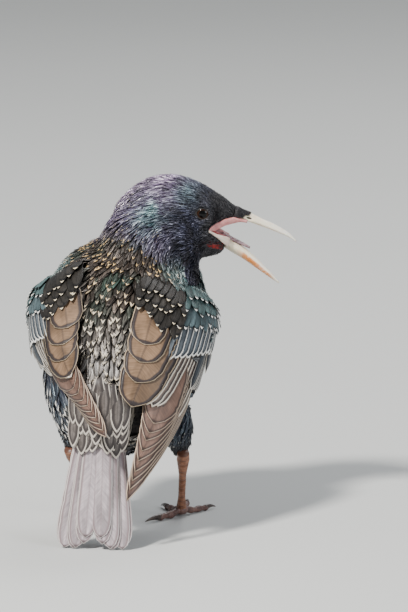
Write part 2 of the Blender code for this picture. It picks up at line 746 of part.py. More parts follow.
def main():
    remove_all_objects()
    parts = collection("starling")
    plumage = material("plumage", (0.05, 0.05, 0.06), 0.45)
    flight = material("flight_feathers", (0.32, 0.22, 0.15), 0.6)
    tail_grey = material("tail_feathers", (0.5, 0.45, 0.42), 0.6)
    horn = material("bill", (0.82, 0.74, 0.6), 0.35)
    flesh = material("mouth", (0.6, 0.2, 0.2), 0.4)
    eye_black = material("eye", (0.03, 0.015, 0.01), 0.08)
    skin = material("leg", (0.38, 0.16, 0.08), 0.5)
    claw_dark = material("claw", (0.07, 0.045, 0.04), 0.35)

    made = {}
    torso = make_torso("torso")
    made["eye_left"] = (make_eye("eye_left", 1), eye_black)
    made["eye_right"] = (make_eye("eye_right", -1), eye_black)
    head = make_head("head", [made["eye_left"][0], made["eye_right"][0]])
    neck = make_neck("neck")
    plain_head = head_loft("plain_head", HEAD_SECTIONS, 14, 20, 2.1)
    boolean(neck, [grown(torso, GAP)], "DIFFERENCE")
    boolean(neck, [grown(plain_head, GAP)], "DIFFERENCE")
    boolean(torso, [grown(plain_head, GAP)], "DIFFERENCE")
    bpy.data.objects.remove(plain_head)
    keep_largest(neck)
    keep_largest(torso)
    made["torso"] = (torso, plumage)
    made["neck"] = (neck, plumage)
    made["head"] = (head, plumage)
    made["bill_upper"] = (make_bill("bill_upper", BILL_TOP_SECTIONS, True), horn)
    made["bill_lower"] = (make_bill("bill_lower", BILL_BOTTOM_SECTIONS, False), horn)
    made["tongue"] = (make_tongue("tongue", made["bill_lower"][0], head), flesh)
    tail = make_tail("tail", torso)
    made["tail"] = (tail, tail_grey)
    made["wing_right"] = (make_wing("wing_right", WING_RIGHT_EDGES, torso, tail), flight)
    made["wing_left"] = (make_wing("wing_left", WING_LEFT_EDGES, torso, tail), flight)
    for side in LEGS:
        shank = make_shank("shank_" + side, side)
        made["thigh_" + side] = (make_thigh("thigh_" + side, side, torso, shank), plumage)
        made["shank_" + side] = (shank, skin)
        made["foot_" + side] = (make_foot("foot_" + side, side, shank), skin)
        for toe in TOES:
            name = f"claw_{toe[0]}_{side}"
            made[name] = (make_claw(name, side, toe), claw_dark)
    for name, (item, finish) in made.items():
        item.name = name
        item.data.materials.clear()
        item.data.materials.append(finish)
        for group in list(item.users_collection):
            group.objects.unlink(item)
        parts.objects.link(item)
    set_origin([item for item, _ in made.values()])


main()
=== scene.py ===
"""The looks of a still, life-size starling: its skin, feathers, bill, eyes and legs, on a plain floor.

Forms are worked out in the millimetres of the model's source and moved into the frame at the end.
"""

import itertools
import math

import bmesh
import bpy
import numpy as np
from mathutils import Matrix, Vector
from mathutils.bvhtree import BVHTree


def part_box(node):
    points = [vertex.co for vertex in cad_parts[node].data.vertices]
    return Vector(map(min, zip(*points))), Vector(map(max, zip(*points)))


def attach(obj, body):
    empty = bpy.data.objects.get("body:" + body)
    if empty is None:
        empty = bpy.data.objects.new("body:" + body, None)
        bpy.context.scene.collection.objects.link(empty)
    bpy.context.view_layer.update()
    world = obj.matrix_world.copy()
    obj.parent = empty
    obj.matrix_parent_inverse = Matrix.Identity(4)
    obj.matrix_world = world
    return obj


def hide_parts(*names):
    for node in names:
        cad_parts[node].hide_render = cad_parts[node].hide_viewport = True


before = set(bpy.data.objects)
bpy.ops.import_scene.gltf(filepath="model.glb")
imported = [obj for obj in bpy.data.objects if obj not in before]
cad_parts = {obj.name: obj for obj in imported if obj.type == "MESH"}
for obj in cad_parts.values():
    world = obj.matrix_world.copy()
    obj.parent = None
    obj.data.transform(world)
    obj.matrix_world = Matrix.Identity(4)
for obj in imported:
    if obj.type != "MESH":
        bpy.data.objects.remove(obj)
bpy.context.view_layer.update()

MM = 0.001
SEED = 11

# The trunk's lower end and its rise.
TRUNK_START = np.array([0.0, -30.0, 45.0])
TRUNK_RISE = math.radians(48)

HEAD_MIDDLE = np.array([18.0, 22.0, 125.0])
HEAD_TURN = math.radians(80)
HEAD_DROOP = math.radians(12)
# Nothing of the head or bill lies farther from its middle than this.
HEAD_REACH = 40
EYE_PLACE = (10.8, 7.7, 2.9)
EYE_RADIUS = 4.1
LID_RADIUS = 2.5
SOCKET_RADIUS = 4.7
MOUTH_CORNER = (15.2, -3.2)
MOUTH_TOP = (26.6, 2.3)
MOUTH_BOTTOM = (22.6, -5.3)

# Sections of the two halves of the bill: station, top, bottom and half width.
BILL_TOP_SECTIONS = [
    (26.3, 6.3, 1.9, 4.5),
    (30.4, 5.6, 1.6, 3.7),
    (35.8, 4.2, 0.9, 3.0),
    (40.0, 3.3, 0.2, 2.5),
    (44.0, 2.1, -0.5, 1.9),
    (48.0, 0.5, -1.3, 1.2),
    (51.0, -1.6, -2.4, 0.4),
]
BILL_BOTTOM_SECTIONS = [
    (22.6, -5.3, -10.6, 4.4),
    (26.0, -6.6, -11.9, 3.8),
    (30.2, -8.2, -13.3, 3.2),
    (36.4, -11.6, -15.9, 2.5),
    (41.0, -14.7, -17.9, 1.8),
    (44.5, -17.2, -19.4, 1.2),
    (47.6, -19.8, -20.6, 0.4),
]
NOSTRIL_PLACE = (29.8, 3.8, 3.5)
TONGUE_START = (20.5, -5.4)
TONGUE_END = (33.0, -8.4)

# Each wing at each quarter of its way from wrist to tip: its edge by the back, its lower edge and the swell
# between them.
WING_EDGES = {
    "right": [
        ((16.0, 12.0, 110.5), (31.0, 30.0, 84.0), 5.0),
        ((10.0, -16.5, 105.5), (38.0, 8.0, 76.0), 9.8),
        ((6.5, -39.5, 86.5), (37.0, -14.5, 60.0), 10.2),
        ((6.0, -54.5, 62.5), (31.5, -37.0, 43.5), 6.0),
        ((11.5, -66.0, 23.0), (18.0, -64.0, 19.5), 0.5),
    ],
    "left": [
        ((-19.0, 10.0, 111.5), (-36.0, 28.0, 84.0), 7.0),
        ((-12.0, -17.0, 106.5), (-38.5, 3.0, 77.0), 9.2),
        ((-5.5, -39.5, 86.0), (-33.0, -20.0, 65.5), 8.6),
        ((-2.5, -56.0, 69.0), (-15.0, -47.0, 57.0), 4.5),
        ((7.0, -74.0, 51.0), (1.0, -71.5, 46.5), 0.5),
    ],
}
# How strongly a feather's tip swings across the wing, on most feathers and on the outermost primary.
WING_SWEEP = 1.8
OUTER_SWEEP = 4.4
# How steeply each large feather is rolled, so that its outer edge lies over the next feather.
SHINGLE = 0.15
TERTIAL_SHINGLE = SHINGLE * 0.55

# The rows of feathers on a wing, each with the heights of its first and last feather over the wing's face, at
# their roots and at their tips.
ROW_HEIGHTS = [
    ("primary", (-2.4, -5.2), (-1.4, -3.6)),
    ("secondary", (-1.1, -3.0), (-0.5, -2.2)),
    ("tertial", (0.2, -1.0), (0.7, -0.4)),
    ("greater_covert", (-0.3, -0.6), (0.5, -0.6)),
    ("median_covert", (-0.4, -0.6), (1.6, 0.7)),
    ("primary_covert", (-1.4, -2.6), (-1.0, -2.2)),
    ("alula", (-1.0, -1.6), (-0.4, -1.0)),
    ("scapular", (-0.4, -0.6), (2.0, 1.7)),
    ("scapular", (-0.4, -0.6), (2.4, 2.0)),
    ("scapular", (-0.6, -0.8), (2.8, 2.3)),
    ("lesser_covert", (-0.8, -1.0), (2.0, 1.2)),
    ("lesser_covert", (-0.8, -1.0), (2.4, 1.6)),
]
# The same rows on each wing: how many feathers, then the widths, roots and tips of the first and the last.
# Roots and tips are places along and across the wing's face.
ROW_PLACES = {
    "right": [
        (9, (17.0, 10.0), ((0.50, 0.55), (0.40, 0.93)), ((0.79, 0.52), (1.0, 0.42))),
        (9, (8.5, 6.0), ((0.42, 0.42), (0.36, 0.80)), ((0.757, 0.30), (0.725, 0.84))),
        (4, (15.0, 18.5), ((0.30, 0.17), (0.42, 0.32)), ((0.545, 0.18), (0.77, 0.20))),
        (10, (7.0, 4.6), ((0.33, 0.36), (0.18, 0.86)), ((0.575, 0.41), (0.39, 0.92))),
        (12, (5.4, 4.4), ((0.28, 0.36), (0.14, 0.84)), ((0.435, 0.40), (0.29, 0.93))),
        (5, (4.5, 4.0), ((0.32, 0.80), (0.30, 0.92)), ((0.60, 0.80), (0.56, 0.96))),
        (3, (4.0, 3.6), ((0.24, 0.84), (0.22, 0.92)), ((0.48, 0.92), (0.42, 0.98))),
        (8, (5.6, 5.6), ((0.28, 0.07), (0.32, 0.37)), ((0.425, 0.09), (0.485, 0.40))),
        (8, (5.4, 5.4), ((0.24, 0.05), (0.28, 0.36)), ((0.38, 0.07), (0.435, 0.39))),
        (8, (5.2, 5.2), ((0.19, 0.05), (0.23, 0.36)), ((0.335, 0.06), (0.385, 0.38))),
        (11, (4.8, 4.0), ((0.21, 0.36), (0.09, 0.84)), ((0.355, 0.41), (0.225, 0.93))),
        (11, (4.6, 3.8), ((0.17, 0.36), (0.05, 0.82)), ((0.30, 0.40), (0.17, 0.90))),
    ],
    "left": [
        (9, (14.0, 9.5), ((0.50, 0.55), (0.40, 0.93)), ((0.76, 0.60), (1.0, 0.42))),
        (8, (8.0, 6.0), ((0.40, 0.42), (0.34, 0.80)), ((0.72, 0.45), (0.63, 0.86))),
        (4, (14.5, 15.5), ((0.28, 0.18), (0.38, 0.30)), ((0.485, 0.19), (0.71, 0.46))),
        (9, (7.0, 4.6), ((0.28, 0.36), (0.16, 0.86)), ((0.52, 0.38), (0.42, 0.92))),
        (11, (5.4, 4.4), ((0.24, 0.36), (0.12, 0.84)), ((0.385, 0.40), (0.28, 0.93))),
        (5, (4.5, 4.0), ((0.32, 0.80), (0.30, 0.92)), ((0.58, 0.80), (0.54, 0.96))),
        (3, (4.0, 3.6), ((0.24, 0.84), (0.22, 0.92)), ((0.46, 0.92), (0.42, 0.98))),
        (8, (5.6, 5.6), ((0.24, 0.07), (0.28, 0.37)), ((0.385, 0.09), (0.445, 0.40))),
        (8, (5.4, 5.4), ((0.20, 0.05), (0.24, 0.36)), ((0.34, 0.07), (0.395, 0.39))),
        (8, (5.2, 5.2), ((0.15, 0.05), (0.19, 0.36)), ((0.295, 0.06), (0.345, 0.38))),
        (10, (4.8, 4.0), ((0.18, 0.36), (0.08, 0.84)), ((0.32, 0.41), (0.215, 0.93))),
        (10, (4.6, 3.8), ((0.14, 0.36), (0.05, 0.82)), ((0.27, 0.40), (0.165, 0.90))),
    ],
}

TAIL_BASE = np.array([0.0, -47.0, 57.0])
TAIL_TIP = np.array([-0.7, -62.0, 0.0])
TAIL_ROOT_SPREAD = (1.6, 6.0)
TAIL_TIP_SPREAD = (3.2, 13.0)
TAIL_FEATHER_WIDTH = (8.6, 7.4)
# How far out each tail feather lies, from the middle pair to the outermost: they show as three bands a side.
TAIL_STEPS = (0.0, 0.07, 0.40, 0.50, 0.90, 1.0)
TAIL_LIFT = (1.2, -1.2)
TAIL_NOTCH = [5.0, 2.6, 0.8, 0.0, 0.4, 2.0]

# Each leg's ankle and the joint where its toes meet.
LEGS = {
    "right": np.array([(26.5, -8.0, 27.5), (22.5, 10.0, 3.3)]),
    "left": np.array([(-19.5, -8.0, 27.5), (-13.5, 9.5, 3.3)]),
}
# Each toe: name, heading in degrees outward from ahead, length, radius and the length of its claw.
TOES = [
    ("inner", -34.0, 15.0, 1.35, 6.0),
    ("middle", -4.0, 21.0, 1.45, 6.5),
    ("outer", 30.0, 16.0, 1.3, 6.0),
    ("hind", -146.0, 13.0, 1.5, 8.5),
]
SOLE = 0.02
CLAW_SOLE = 0.04
GAP = 0.3

SKIN_VOXEL = 0.0008
# How deep the skin lies under the wing feathers, and how far along the wing it reaches.
PAD_DEPTH = 1.4
PAD_LENGTH = 0.6
# How deep the skin is sunk under the tips of the feathers.
BODY_DEPTH = 1.9
HEAD_DEPTH = 1.0
FACE_DEPTH = 0.35
# How many places are tried for small feathers, the most triangles of a piece of the coat, and the size of a
# feather's patch on the map.
DARTS = 150000
PIECE_TRIANGLES = 180000
FEATHER_PATCH = 0.003

# The photo's framing: the size of its pixel on the bird, its middle and height in pixels, the pixel that lies
# over the floor's middle and how far it lies below the floor, and the camera's angle and distance.
PIXEL = 0.41
PHOTO_MIDDLE = (204, 306)
PHOTO_HEIGHT = 612
FLOOR_PIXEL = (123, 545)
FLOOR_DROP = 10.6
VIEW_AZIMUTH = math.radians(10)
VIEW_RISE = math.radians(10)
VIEW_DISTANCE = 3000.0
SENSOR = 24.0

ACROSS = np.array([1.0, 0.0, 0.0])

random = np.random.default_rng(SEED)


def unit(vectors):
    vectors = np.asarray(vectors, float)
    return vectors / np.maximum(np.linalg.norm(vectors, axis=-1, keepdims=True), 1e-9)


def limit(values):
    return np.clip(values, 0, 1)


def smooth_rows(rows, count):
    """Rows of numbers read at count even places along a smooth curve through them, by their first column."""
    rows = np.array(rows, float)
    slopes = np.gradient(rows, rows[:, 0], axis=0)
    found = []
    for x in np.linspace(rows[0, 0], rows[-1, 0], count):
        i = int(np.clip(np.searchsorted(rows[:, 0], x) - 1, 0, len(rows) - 2))
        span = rows[i + 1, 0] - rows[i, 0]
        t = (x - rows[i, 0]) / span
        found.append(
            (2 * t**3 - 3 * t**2 + 1) * rows[i]
            + (t**3 - 2 * t**2 + t) * span * slopes[i]
            + (3 * t**2 - 2 * t**3) * rows[i + 1]
            + (t**3 - t**2) * span * slopes[i + 1]
        )
    return np.array(found)


def head_axes():
    """The head's own axes: ahead along the bill, to its left, and up."""
    heading = np.array([math.sin(HEAD_TURN), math.cos(HEAD_TURN), 0.0])
    left = np.array([-heading[1], heading[0], 0.0])
    ahead = heading * math.cos(HEAD_DROOP) - np.array([0.0, 0.0, math.sin(HEAD_DROOP)])
    return ahead, left, np.cross(ahead, left)


HEAD_AHEAD, HEAD_LEFT, HEAD_UP = head_axes()


def head_point(station, left, height):
    return HEAD_MIDDLE + station * HEAD_AHEAD + left * HEAD_LEFT + height * HEAD_UP


def in_head(points):
    """Stations, sides and heights of points in the head's own axes."""
    return (points - HEAD_MIDDLE) @ np.array([HEAD_AHEAD, HEAD_LEFT, HEAD_UP]).T


def near_head(head):
    """Which points lie near the head, given in its own axes."""
    return np.linalg.norm(head, axis=1) < HEAD_REACH


TRUNK_ALONG = np.array([0.0, math.cos(TRUNK_RISE), math.sin(TRUNK_RISE)])
TRUNK_BACK = np.array([0.0, -math.sin(TRUNK_RISE), math.cos(TRUNK_RISE)])


def trunk_point(station, height):
    return TRUNK_START + station * TRUNK_ALONG + height * TRUNK_BACK


def in_trunk(points):
    """Stations, heights to the back and sides of points in the trunk's own axes."""
    away = points - TRUNK_START
    return np.stack([away @ TRUNK_ALONG, away @ TRUNK_BACK, points[:, 0]], axis=1)


eye_low, eye_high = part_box("eye_right")
eye_middle = (np.array(eye_low) + np.array(eye_high)) / 2 / MM
SHIFT = eye_middle - head_point(EYE_PLACE[0], -EYE_PLACE[1], EYE_PLACE[2])


def to_frame(points):
    return (np.asarray(points, float) + SHIFT) * MM


def linked(name, data):
    """A new object of this data, in the scene."""
    made = bpy.data.objects.new(name, data)
    bpy.context.scene.collection.objects.link(made)
    return made


def mesh_object(name, points, faces):
    """A smooth mesh object in the frame from points in the working millimetres."""
    mesh = bpy.data.meshes.new(name)
    mesh.from_pydata(to_frame(points).tolist(), [], [list(map(int, f)) for f in faces])
    mesh.shade_smooth()
    return linked(name, mesh)


def read_points(mesh):
    """The mesh's points in the working millimetres."""
    points = np.empty(len(mesh.vertices) * 3)
    mesh.vertices.foreach_get("co", points)
    return points.reshape(-1, 3) / MM - SHIFT


def write_points(mesh, points):
    mesh.vertices.foreach_set("co", to_frame(points).ravel())
    mesh.update()


def covered_with(item, material):
    """The object, with this as its only material."""
    item.data.materials.clear()
    item.data.materials.append(material)
    return item


def joined(name, items):
    """One object from several."""
    bpy.ops.object.select_all(action="DESELECT")
    for item in items:
        item.select_set(True)
    bpy.context.view_layer.objects.active = items[0]
    bpy.ops.object.join()
    made = bpy.context.object
    made.name = name
    made.data.name = name
    return made


def outward(item):
    shaped = bmesh.new()
    shaped.from_mesh(item.data)
    bmesh.ops.recalc_face_normals(shaped, faces=shaped.faces)
    shaped.to_mesh(item.data)
    shaped.free()
    return item


def oval(middle, across, up, half_width, half_height, corners, squareness=2.0):
    turn = np.arange(corners) * 2 * math.pi / corners
    side = np.sign(np.cos(turn)) * np.abs(np.cos(turn)) ** (2 / squareness) * half_width
    rise = np.sign(np.sin(turn)) * np.abs(np.sin(turn)) ** (2 / squareness) * half_height
    return middle + side[:, None] * across + rise[:, None] * up


def ball_rings(middle, axis, across, up, radius, turns, corners):
    """Rings of a ball round an axis, one at each of the turns away from it."""
    rings = []
    for turn in turns:
        size = radius * math.sin(turn)
        rings.append(oval(middle + axis * radius * math.cos(turn), across, up, size, size, corners))
    return rings


def ring_faces(rings, corners, closed=False):
    """Quads between rings of as many corners each, and from the last ring to the first where closed."""
    faces = []
    for i in range(rings if closed else rings - 1):
        this, following = i * corners, (i + 1) % rings * corners
        for j in range(corners):
            k = (j + 1) % corners
            faces.append([this + j, this + k, following + k, following + j])
    return faces


def loft(name, rings):
    """A closed solid through rings of as many points each."""
    corners = len(rings[0])
    faces = ring_faces(len(rings), corners)
    faces.append(list(range(corners)))
    faces.append(list(range((len(rings) - 1) * corners, len(rings) * corners)))
    return outward(mesh_object(name, np.concatenate(rings), faces))


def tube_rings(path, radii, corners, flatness=1.0):
    path = np.array(path, float)
    along = np.gradient(path, axis=0)
    rings = []
    for middle, way, radius in zip(path, along, radii):
        side = unit(np.cross(way, [0.0, 0.31, 0.95]))
        up = unit(np.cross(side, way))
        rings.append(oval(middle, side, up, radius, radius * flatness, corners))
    return rings


def wobble(points, size, seed):
    """A smooth random number from about -1 to 1 at each point, that changes over about size millimetres."""
    own = np.random.default_rng(seed)
    total = np.zeros(len(points))
    for _ in range(6):
        way = unit(own.normal(size=3)) * own.uniform(0.7, 1.6) * 2 * math.pi / size
        total += np.sin(points @ way + own.uniform(0, 7))
    return total / 2.6


# The wings' faces


def wing_grid(edges, stations=81, corners=33):
    """A wing's curved face as a grid of places and of normals, along it and across it."""
    rows = [(i / (len(edges) - 1), *near, *far, swell) for i, (near, far, swell) in enumerate(edges)]
    rows = smooth_rows(rows, stations)
    near, far, swell = rows[:, 1:4], rows[:, 4:7], rows[:, 7]
    middle = trunk_point(45, 2)
    out = (near + far) / 2 - middle
    out = unit(out - (out @ TRUNK_ALONG)[:, None] * TRUNK_ALONG)
    across = np.linspace(0, 1, corners)
    bulge = 4 * across * (1 - across)
    places = (
        near[:, None]
        + (far - near)[:, None] * across[None, :, None]
        + out[:, None] * swell[:, None, None] * bulge[None, :, None]
    )
    normals = unit(np.cross(np.gradient(places, axis=0), np.gradient(places, axis=1)))
    return places, normals * np.sign(((places - middle) * normals).sum(-1, keepdims=True))


WING_FACES = {side: wing_grid(edges) for side, edges in WING_EDGES.items()}


def on_grid(grid, along, across):
    """Values of a grid at places along and across it, both from 0 to 1, and carried on past its edges."""
    rows, columns = grid.shape[:2]
    x, y = np.asarray(along) * (rows - 1), np.asarray(across) * (columns - 1)
    i = np.clip(np.floor(x).astype(int), 0, rows - 2)
    j = np.clip(np.floor(y).astype(int), 0, columns - 2)
    fx = np.clip(x - i, -1.0, 2.0)[..., None]
    fy = np.clip(y - j, -4.0, 5.0)[..., None]
    return (
        grid[i, j] * (1 - fx) * (1 - fy)
        + grid[i + 1, j] * fx * (1 - fy)
        + grid[i, j + 1] * (1 - fx) * fy
        + grid[i + 1, j + 1] * fx * fy
    )


def wing_face(side, along, across):
    places, normals = WING_FACES[side]
    return on_grid(places, along, across), unit(on_grid(normals, along, across))


# Feathers as closed vanes

# The share of a vane's half width that the ridge of its shaft takes up.
RIDGE_WIDTH = 0.12


def vane_mesh(paths, normals, half_widths, profile, offsets, thickness, ridge, camber):
    """Points and faces of closed vanes, each point's place across and along, and how many points a vane has.

    paths and normals are (count, stations, 3) and half_widths is (count,). profile is the share of the full
    width at each station but the last, which is the tip's point. offsets are the places across from -1 to 1.
    """
    count, stations = paths.shape[:2]
    ways = unit(np.gradient(paths, axis=1))
    across = unit(np.cross(ways, normals))
    normals = unit(np.cross(across, ways))
    rings = stations - 1
    top = np.asarray(offsets)
    under = top[1:-1][::-1]
    spots = np.concatenate([top, under])
    is_top = np.concatenate([np.ones(len(top)), np.zeros(len(under))])
    around = len(spots)
    half = half_widths[:, None] * np.broadcast_to(np.asarray(profile), (count, rings))
    side = half[:, :, None] * spots[None, None, :]
    lift = np.where(is_top > 0, thickness / 2, -thickness / 2) * (1 - np.abs(spots) ** 2.0)
    lift = lift + ridge * np.exp(-((spots / RIDGE_WIDTH) ** 2)) * is_top
    drop = camber * side**2 / np.maximum(half_widths, 0.2)[:, None, None]
    points = (
        paths[:, :rings, None, :]
        + across[:, :rings, None, :] * side[..., None]
        + normals[:, :rings, None, :] * (lift - drop)[..., None]
    )
    points = np.concatenate([points.reshape(count, rings * around, 3), paths[:, -1:, :]], axis=1)
    last = (rings - 1) * around
    fans = [(last + j, last + (j + 1) % around, rings * around) for j in range(around)]
    fans += [(0, j + 1, j) for j in range(1, around - 1)]
    size = rings * around + 1
    start = (np.arange(count) * size)[:, None, None]
    quads = (np.array(ring_faces(rings, around))[None] + start).reshape(-1, 4)
    fans = (np.array(fans)[None] + start).reshape(-1, 3)
    along = np.append(np.repeat(np.linspace(0, 1, stations)[:rings], around), 1.0)
    spot = np.append(np.tile(spots, rings), 0.0)
    return points.reshape(-1, 3), quads, fans, np.tile(spot, count), np.tile(along, count), size


def fast_mesh(name, points, quads, fans):
    """A mesh object made quickly from arrays, smooth shaded."""
    mesh = bpy.data.meshes.new(name)
    mesh.vertices.add(len(points))
    mesh.vertices.foreach_set("co", to_frame(points).astype(np.float32).ravel())
    loops = np.concatenate([quads.ravel(), fans.ravel()]).astype(np.int32)
    mesh.loops.add(len(loops))
    mesh.loops.foreach_set("vertex_index", loops)
    starts = np.concatenate([np.arange(len(quads)) * 4, len(quads) * 4 + np.arange(len(fans)) * 3])
    mesh.polygons.add(len(starts))
    mesh.polygons.foreach_set("loop_start", starts.astype(np.int32))
    mesh.update(calc_edges=True)
    mesh.validate()
    mesh.shade_smooth()
    return linked(name, mesh)


def set_values(item, name, kind, values):
    layer = item.data.attributes.new(name, kind, "POINT")
    field = {"FLOAT": "value", "FLOAT_VECTOR": "vector", "FLOAT_COLOR": "color"}[kind]
    values = np.asarray(values, np.float32)
    if kind == "FLOAT_COLOR" and values.shape[1] == 3:
        values = np.concatenate([values, np.ones((len(values), 1), np.float32)], axis=1)
    layer.data.foreach_set(field, values.ravel())


def set_looks(item, tint, edge, glint, form, looks):
    """The values that a feather's material reads at each point."""
    for name, values in (("tint", tint), ("edge", edge), ("glint", glint)):
        set_values(item, name, "FLOAT_COLOR", values)
    for name, values in (("form", form), ("looks", looks)):
        set_values(item, name, "FLOAT_VECTOR", values)


def write_map(item, spots):
    """The map for colours, from a place on it for each point of the mesh."""
    layer = item.data.uv_layers.new(name="OFBake")
    corners = np.empty(len(item.data.loops), np.int32)
    item.data.loops.foreach_get("vertex_index", corners)
    layer.data.foreach_set("uv", spots[corners].astype(np.float32).ravel())


def map_small_feathers(item, across, along, place, turn, size):
    """A map with one small patch for each feather, at its root's place on the skin's own unwrap."""
    low, high = place.min(), place.max() + 1e-6
    centres = np.stack([0.5 + 0.48 * turn, 0.02 + 0.96 * (place - low) / (high - low)], axis=1)
    patch = np.stack([across / 2, along - 0.5], axis=1) * FEATHER_PATCH
    write_map(item, np.clip(np.repeat(centres, size, axis=0) + patch, 0.001, 0.999))


def map_big_feathers(item, forms):
    """A map that gives each big feather a strip of its own."""
    columns = math.ceil(math.sqrt(len(forms)))
    spots = []
    for k, form in enumerate(forms):
        x = (k % columns + 0.5 + form[:, 0] * 0.44) / columns
        y = (k // columns + 0.04 + form[:, 1] * 0.92) / columns
        spots.append(np.stack([x, y], axis=1))
    write_map(item, np.concatenate(spots))


# Materials


class Nodes:
    """A short way to write a node material."""

    def __init__(self, name):
        self.material = bpy.data.materials.new(name)
        self.material.use_nodes = True
        self.tree = self.material.node_tree
        self.shader = self.tree.nodes["Principled BSDF"]

    def node(self, kind, **settings):
        made = self.tree.nodes.new(kind)
        for key, value in settings.items():
            setattr(made, key, value)
        return made

    def put(self, socket, value):
        if isinstance(value, bpy.types.NodeSocket):
            self.tree.links.new(value, socket)
        else:
            socket.default_value = value

    def math(self, operation, a, b=0.0):
        made = self.node("ShaderNodeMath", operation=operation)
        self.put(made.inputs[0], a)
        self.put(made.inputs[1], b)
        return made.outputs[0]

    def times(self, a, b):
        return self.math("MULTIPLY", a, b)

    def plus(self, a, b):
        return self.math("ADD", a, b)

    def minus(self, a, b):
        return self.math("SUBTRACT", a, b)

    def mix(self, share, a, b, blend="MIX"):
        made = self.node("ShaderNodeMix", data_type="RGBA", blend_type=blend)
        self.put(made.inputs[0], share)
        self.put(made.inputs[6], a if not isinstance(a, tuple) else (*a, 1.0))
        self.put(made.inputs[7], b if not isinstance(b, tuple) else (*b, 1.0))
        return made.outputs[2]

    def shaded(self, colour, shade):
        return self.mix(1.0, colour, self.join(shade, shade, shade), "MULTIPLY")

    def ramp(self, value, low, high, to_low=0.0, to_high=1.0):
        made = self.node("ShaderNodeMapRange", interpolation_type="SMOOTHSTEP")
        self.put(made.inputs["Value"], value)
        made.inputs["From Min"].default_value = low
        made.inputs["From Max"].default_value = high
        made.inputs["To Min"].default_value = to_low
        made.inputs["To Max"].default_value = to_high
        return made.outputs["Result"]

    def value(self, name, output="Fac"):
        return self.node("ShaderNodeAttribute", attribute_name=name).outputs[output]

    def noise(self, vector, scale, detail=2.0):
        made = self.node("ShaderNodeTexNoise")
        self.put(made.inputs["Vector"], vector)
        made.inputs["Scale"].default_value = scale
        made.inputs["Detail"].default_value = detail
        return made.outputs["Fac"]

    def place(self):
        return self.node("ShaderNodeTexCoord").outputs["Object"]

    def join(self, x, y, z):
        made = self.node("ShaderNodeCombineXYZ")
        for socket, value in zip(made.inputs, (x, y, z)):
            self.put(socket, value)
        return made.outputs[0]

    def split(self, name):
        """The three numbers of a value held by the mesh."""
        made = self.node("ShaderNodeSeparateXYZ")
        self.put(made.inputs[0], self.value(name, "Vector"))
        return made.outputs

    def bump(self, height, strength, distance):
        made = self.node("ShaderNodeBump")
        made.inputs["Strength"].default_value = strength
        made.inputs["Distance"].default_value = distance
        self.put(made.inputs["Height"], height)
        self.tree.links.new(made.outputs[0], self.shader.inputs["Normal"])

    def set(self, **values):
        for key, value in values.items():
            self.put(self.shader.inputs[key.replace("_", " ")], value)


def feather_nodes(name, roughness, fine):
    """Small feathers, coloured by their own values: tint, pale edge and glint, a painted highlight colour,
    with their form and looks.
    """
    made = Nodes(name)
    tint, edge, glint = (made.value(label, "Color") for label in ("tint", "edge", "glint"))
    across, along, lot = made.split("form")
    spot, fringe, gloss = made.split("looks")
    wide = made.math("ABSOLUTE", across)
    left = made.minus(1.0, along)
    reach = made.times(spot, made.plus(0.55, made.times(wide, 0.75)))
    in_spot = made.ramp(made.minus(reach, left), -0.015, 0.015)
    margin = made.math("MINIMUM", made.minus(1.0, wide), made.times(left, 2.4))
    in_fringe = made.ramp(made.minus(fringe, margin), -0.04, 0.06)
    mask = made.math("MAXIMUM", in_spot, in_fringe)
    lines = made.join(made.times(across, 2.6), made.times(along, 0.7), made.times(lot, 37.0))
    streaks = made.noise(lines, fine, 3.0)
    # Lighter and darker streaks along the barbs; the glint colour mixed into the lightest streaks is a
    # painted highlight.
    colour = made.shaded(tint, made.ramp(streaks, 0.3, 0.72, 0.3, 1.5))
    colour = made.mix(made.times(made.ramp(streaks, 0.47, 0.64), 0.92), colour, glint)
    rough = made.plus(roughness, made.times(mask, 0.3))
    made.set(
        Base_Color=made.mix(mask, colour, edge),
        Metallic=made.times(made.minus(1.0, mask), gloss),
        Roughness=made.plus(rough, made.times(made.minus(streaks, 0.5), -0.25)),
    )
    made.bump(streaks, 0.6, 0.0002)
    return made.material


def flight_material():
    """Wing and tail feathers: soft barbs, a dark band inside a pale edge, and a thin shaft."""
    made = Nodes("flight_feather")
    tint, edge, dark = (made.value(label, "Color") for label in ("tint", "edge", "glint"))
    across, along, margin = made.split("form")
    fringe, band, lot = made.split("looks")
    wide = made.math("ABSOLUTE", across)
    in_edge = made.ramp(made.minus(fringe, margin), -0.10, 0.10)
    in_band = made.ramp(made.minus(made.plus(fringe, band), margin), -0.45, 0.35)
    slant = made.plus(made.times(along, 40.0), made.times(wide, -4.0))
    streaks = made.noise(made.join(made.times(across, 0.8), slant, made.times(lot, 41.0)), 1.7, 3.0)
    patches = made.join(made.times(across, 1.2), made.times(along, 2.2), made.times(lot, 17.0))
    cloud = made.noise(patches, 1.3, 2.0)
    shade = made.times(made.ramp(streaks, 0.3, 0.72, 0.82, 1.18), made.ramp(cloud, 0.3, 0.7, 0.66, 1.25))
    colour = made.mix(made.times(in_band, 0.92), made.shaded(tint, shade), dark)
    shaft = made.ramp(wide, 0.03, 0.09, 1.0, 0.0)
    colour = made.mix(made.times(shaft, 0.4), colour, dark)
    made.set(
        Base_Color=made.mix(in_edge, colour, edge),
        Specular_IOR_Level=0.3,
        Roughness=made.ramp(streaks, 0.3, 0.7, 0.34, 0.52),
    )
    made.bump(made.plus(streaks, shaft), 0.35, 0.00012)
    return made.material


def mottled(name, scale, detail, dark, light, reach=None, bump=None, **settings):
    """Fine spots between two colours. The light one may be the name of a colour that the mesh holds."""
    made = Nodes(name)
    spots = made.noise(made.place(), scale, detail)
    if isinstance(light, str):
        light = made.value(light, "Color")
    made.set(Base_Color=made.mix(made.ramp(spots, *reach) if reach else spots, dark, light), **settings)
    if bump:
        made.bump(spots, *bump)
    return made.material


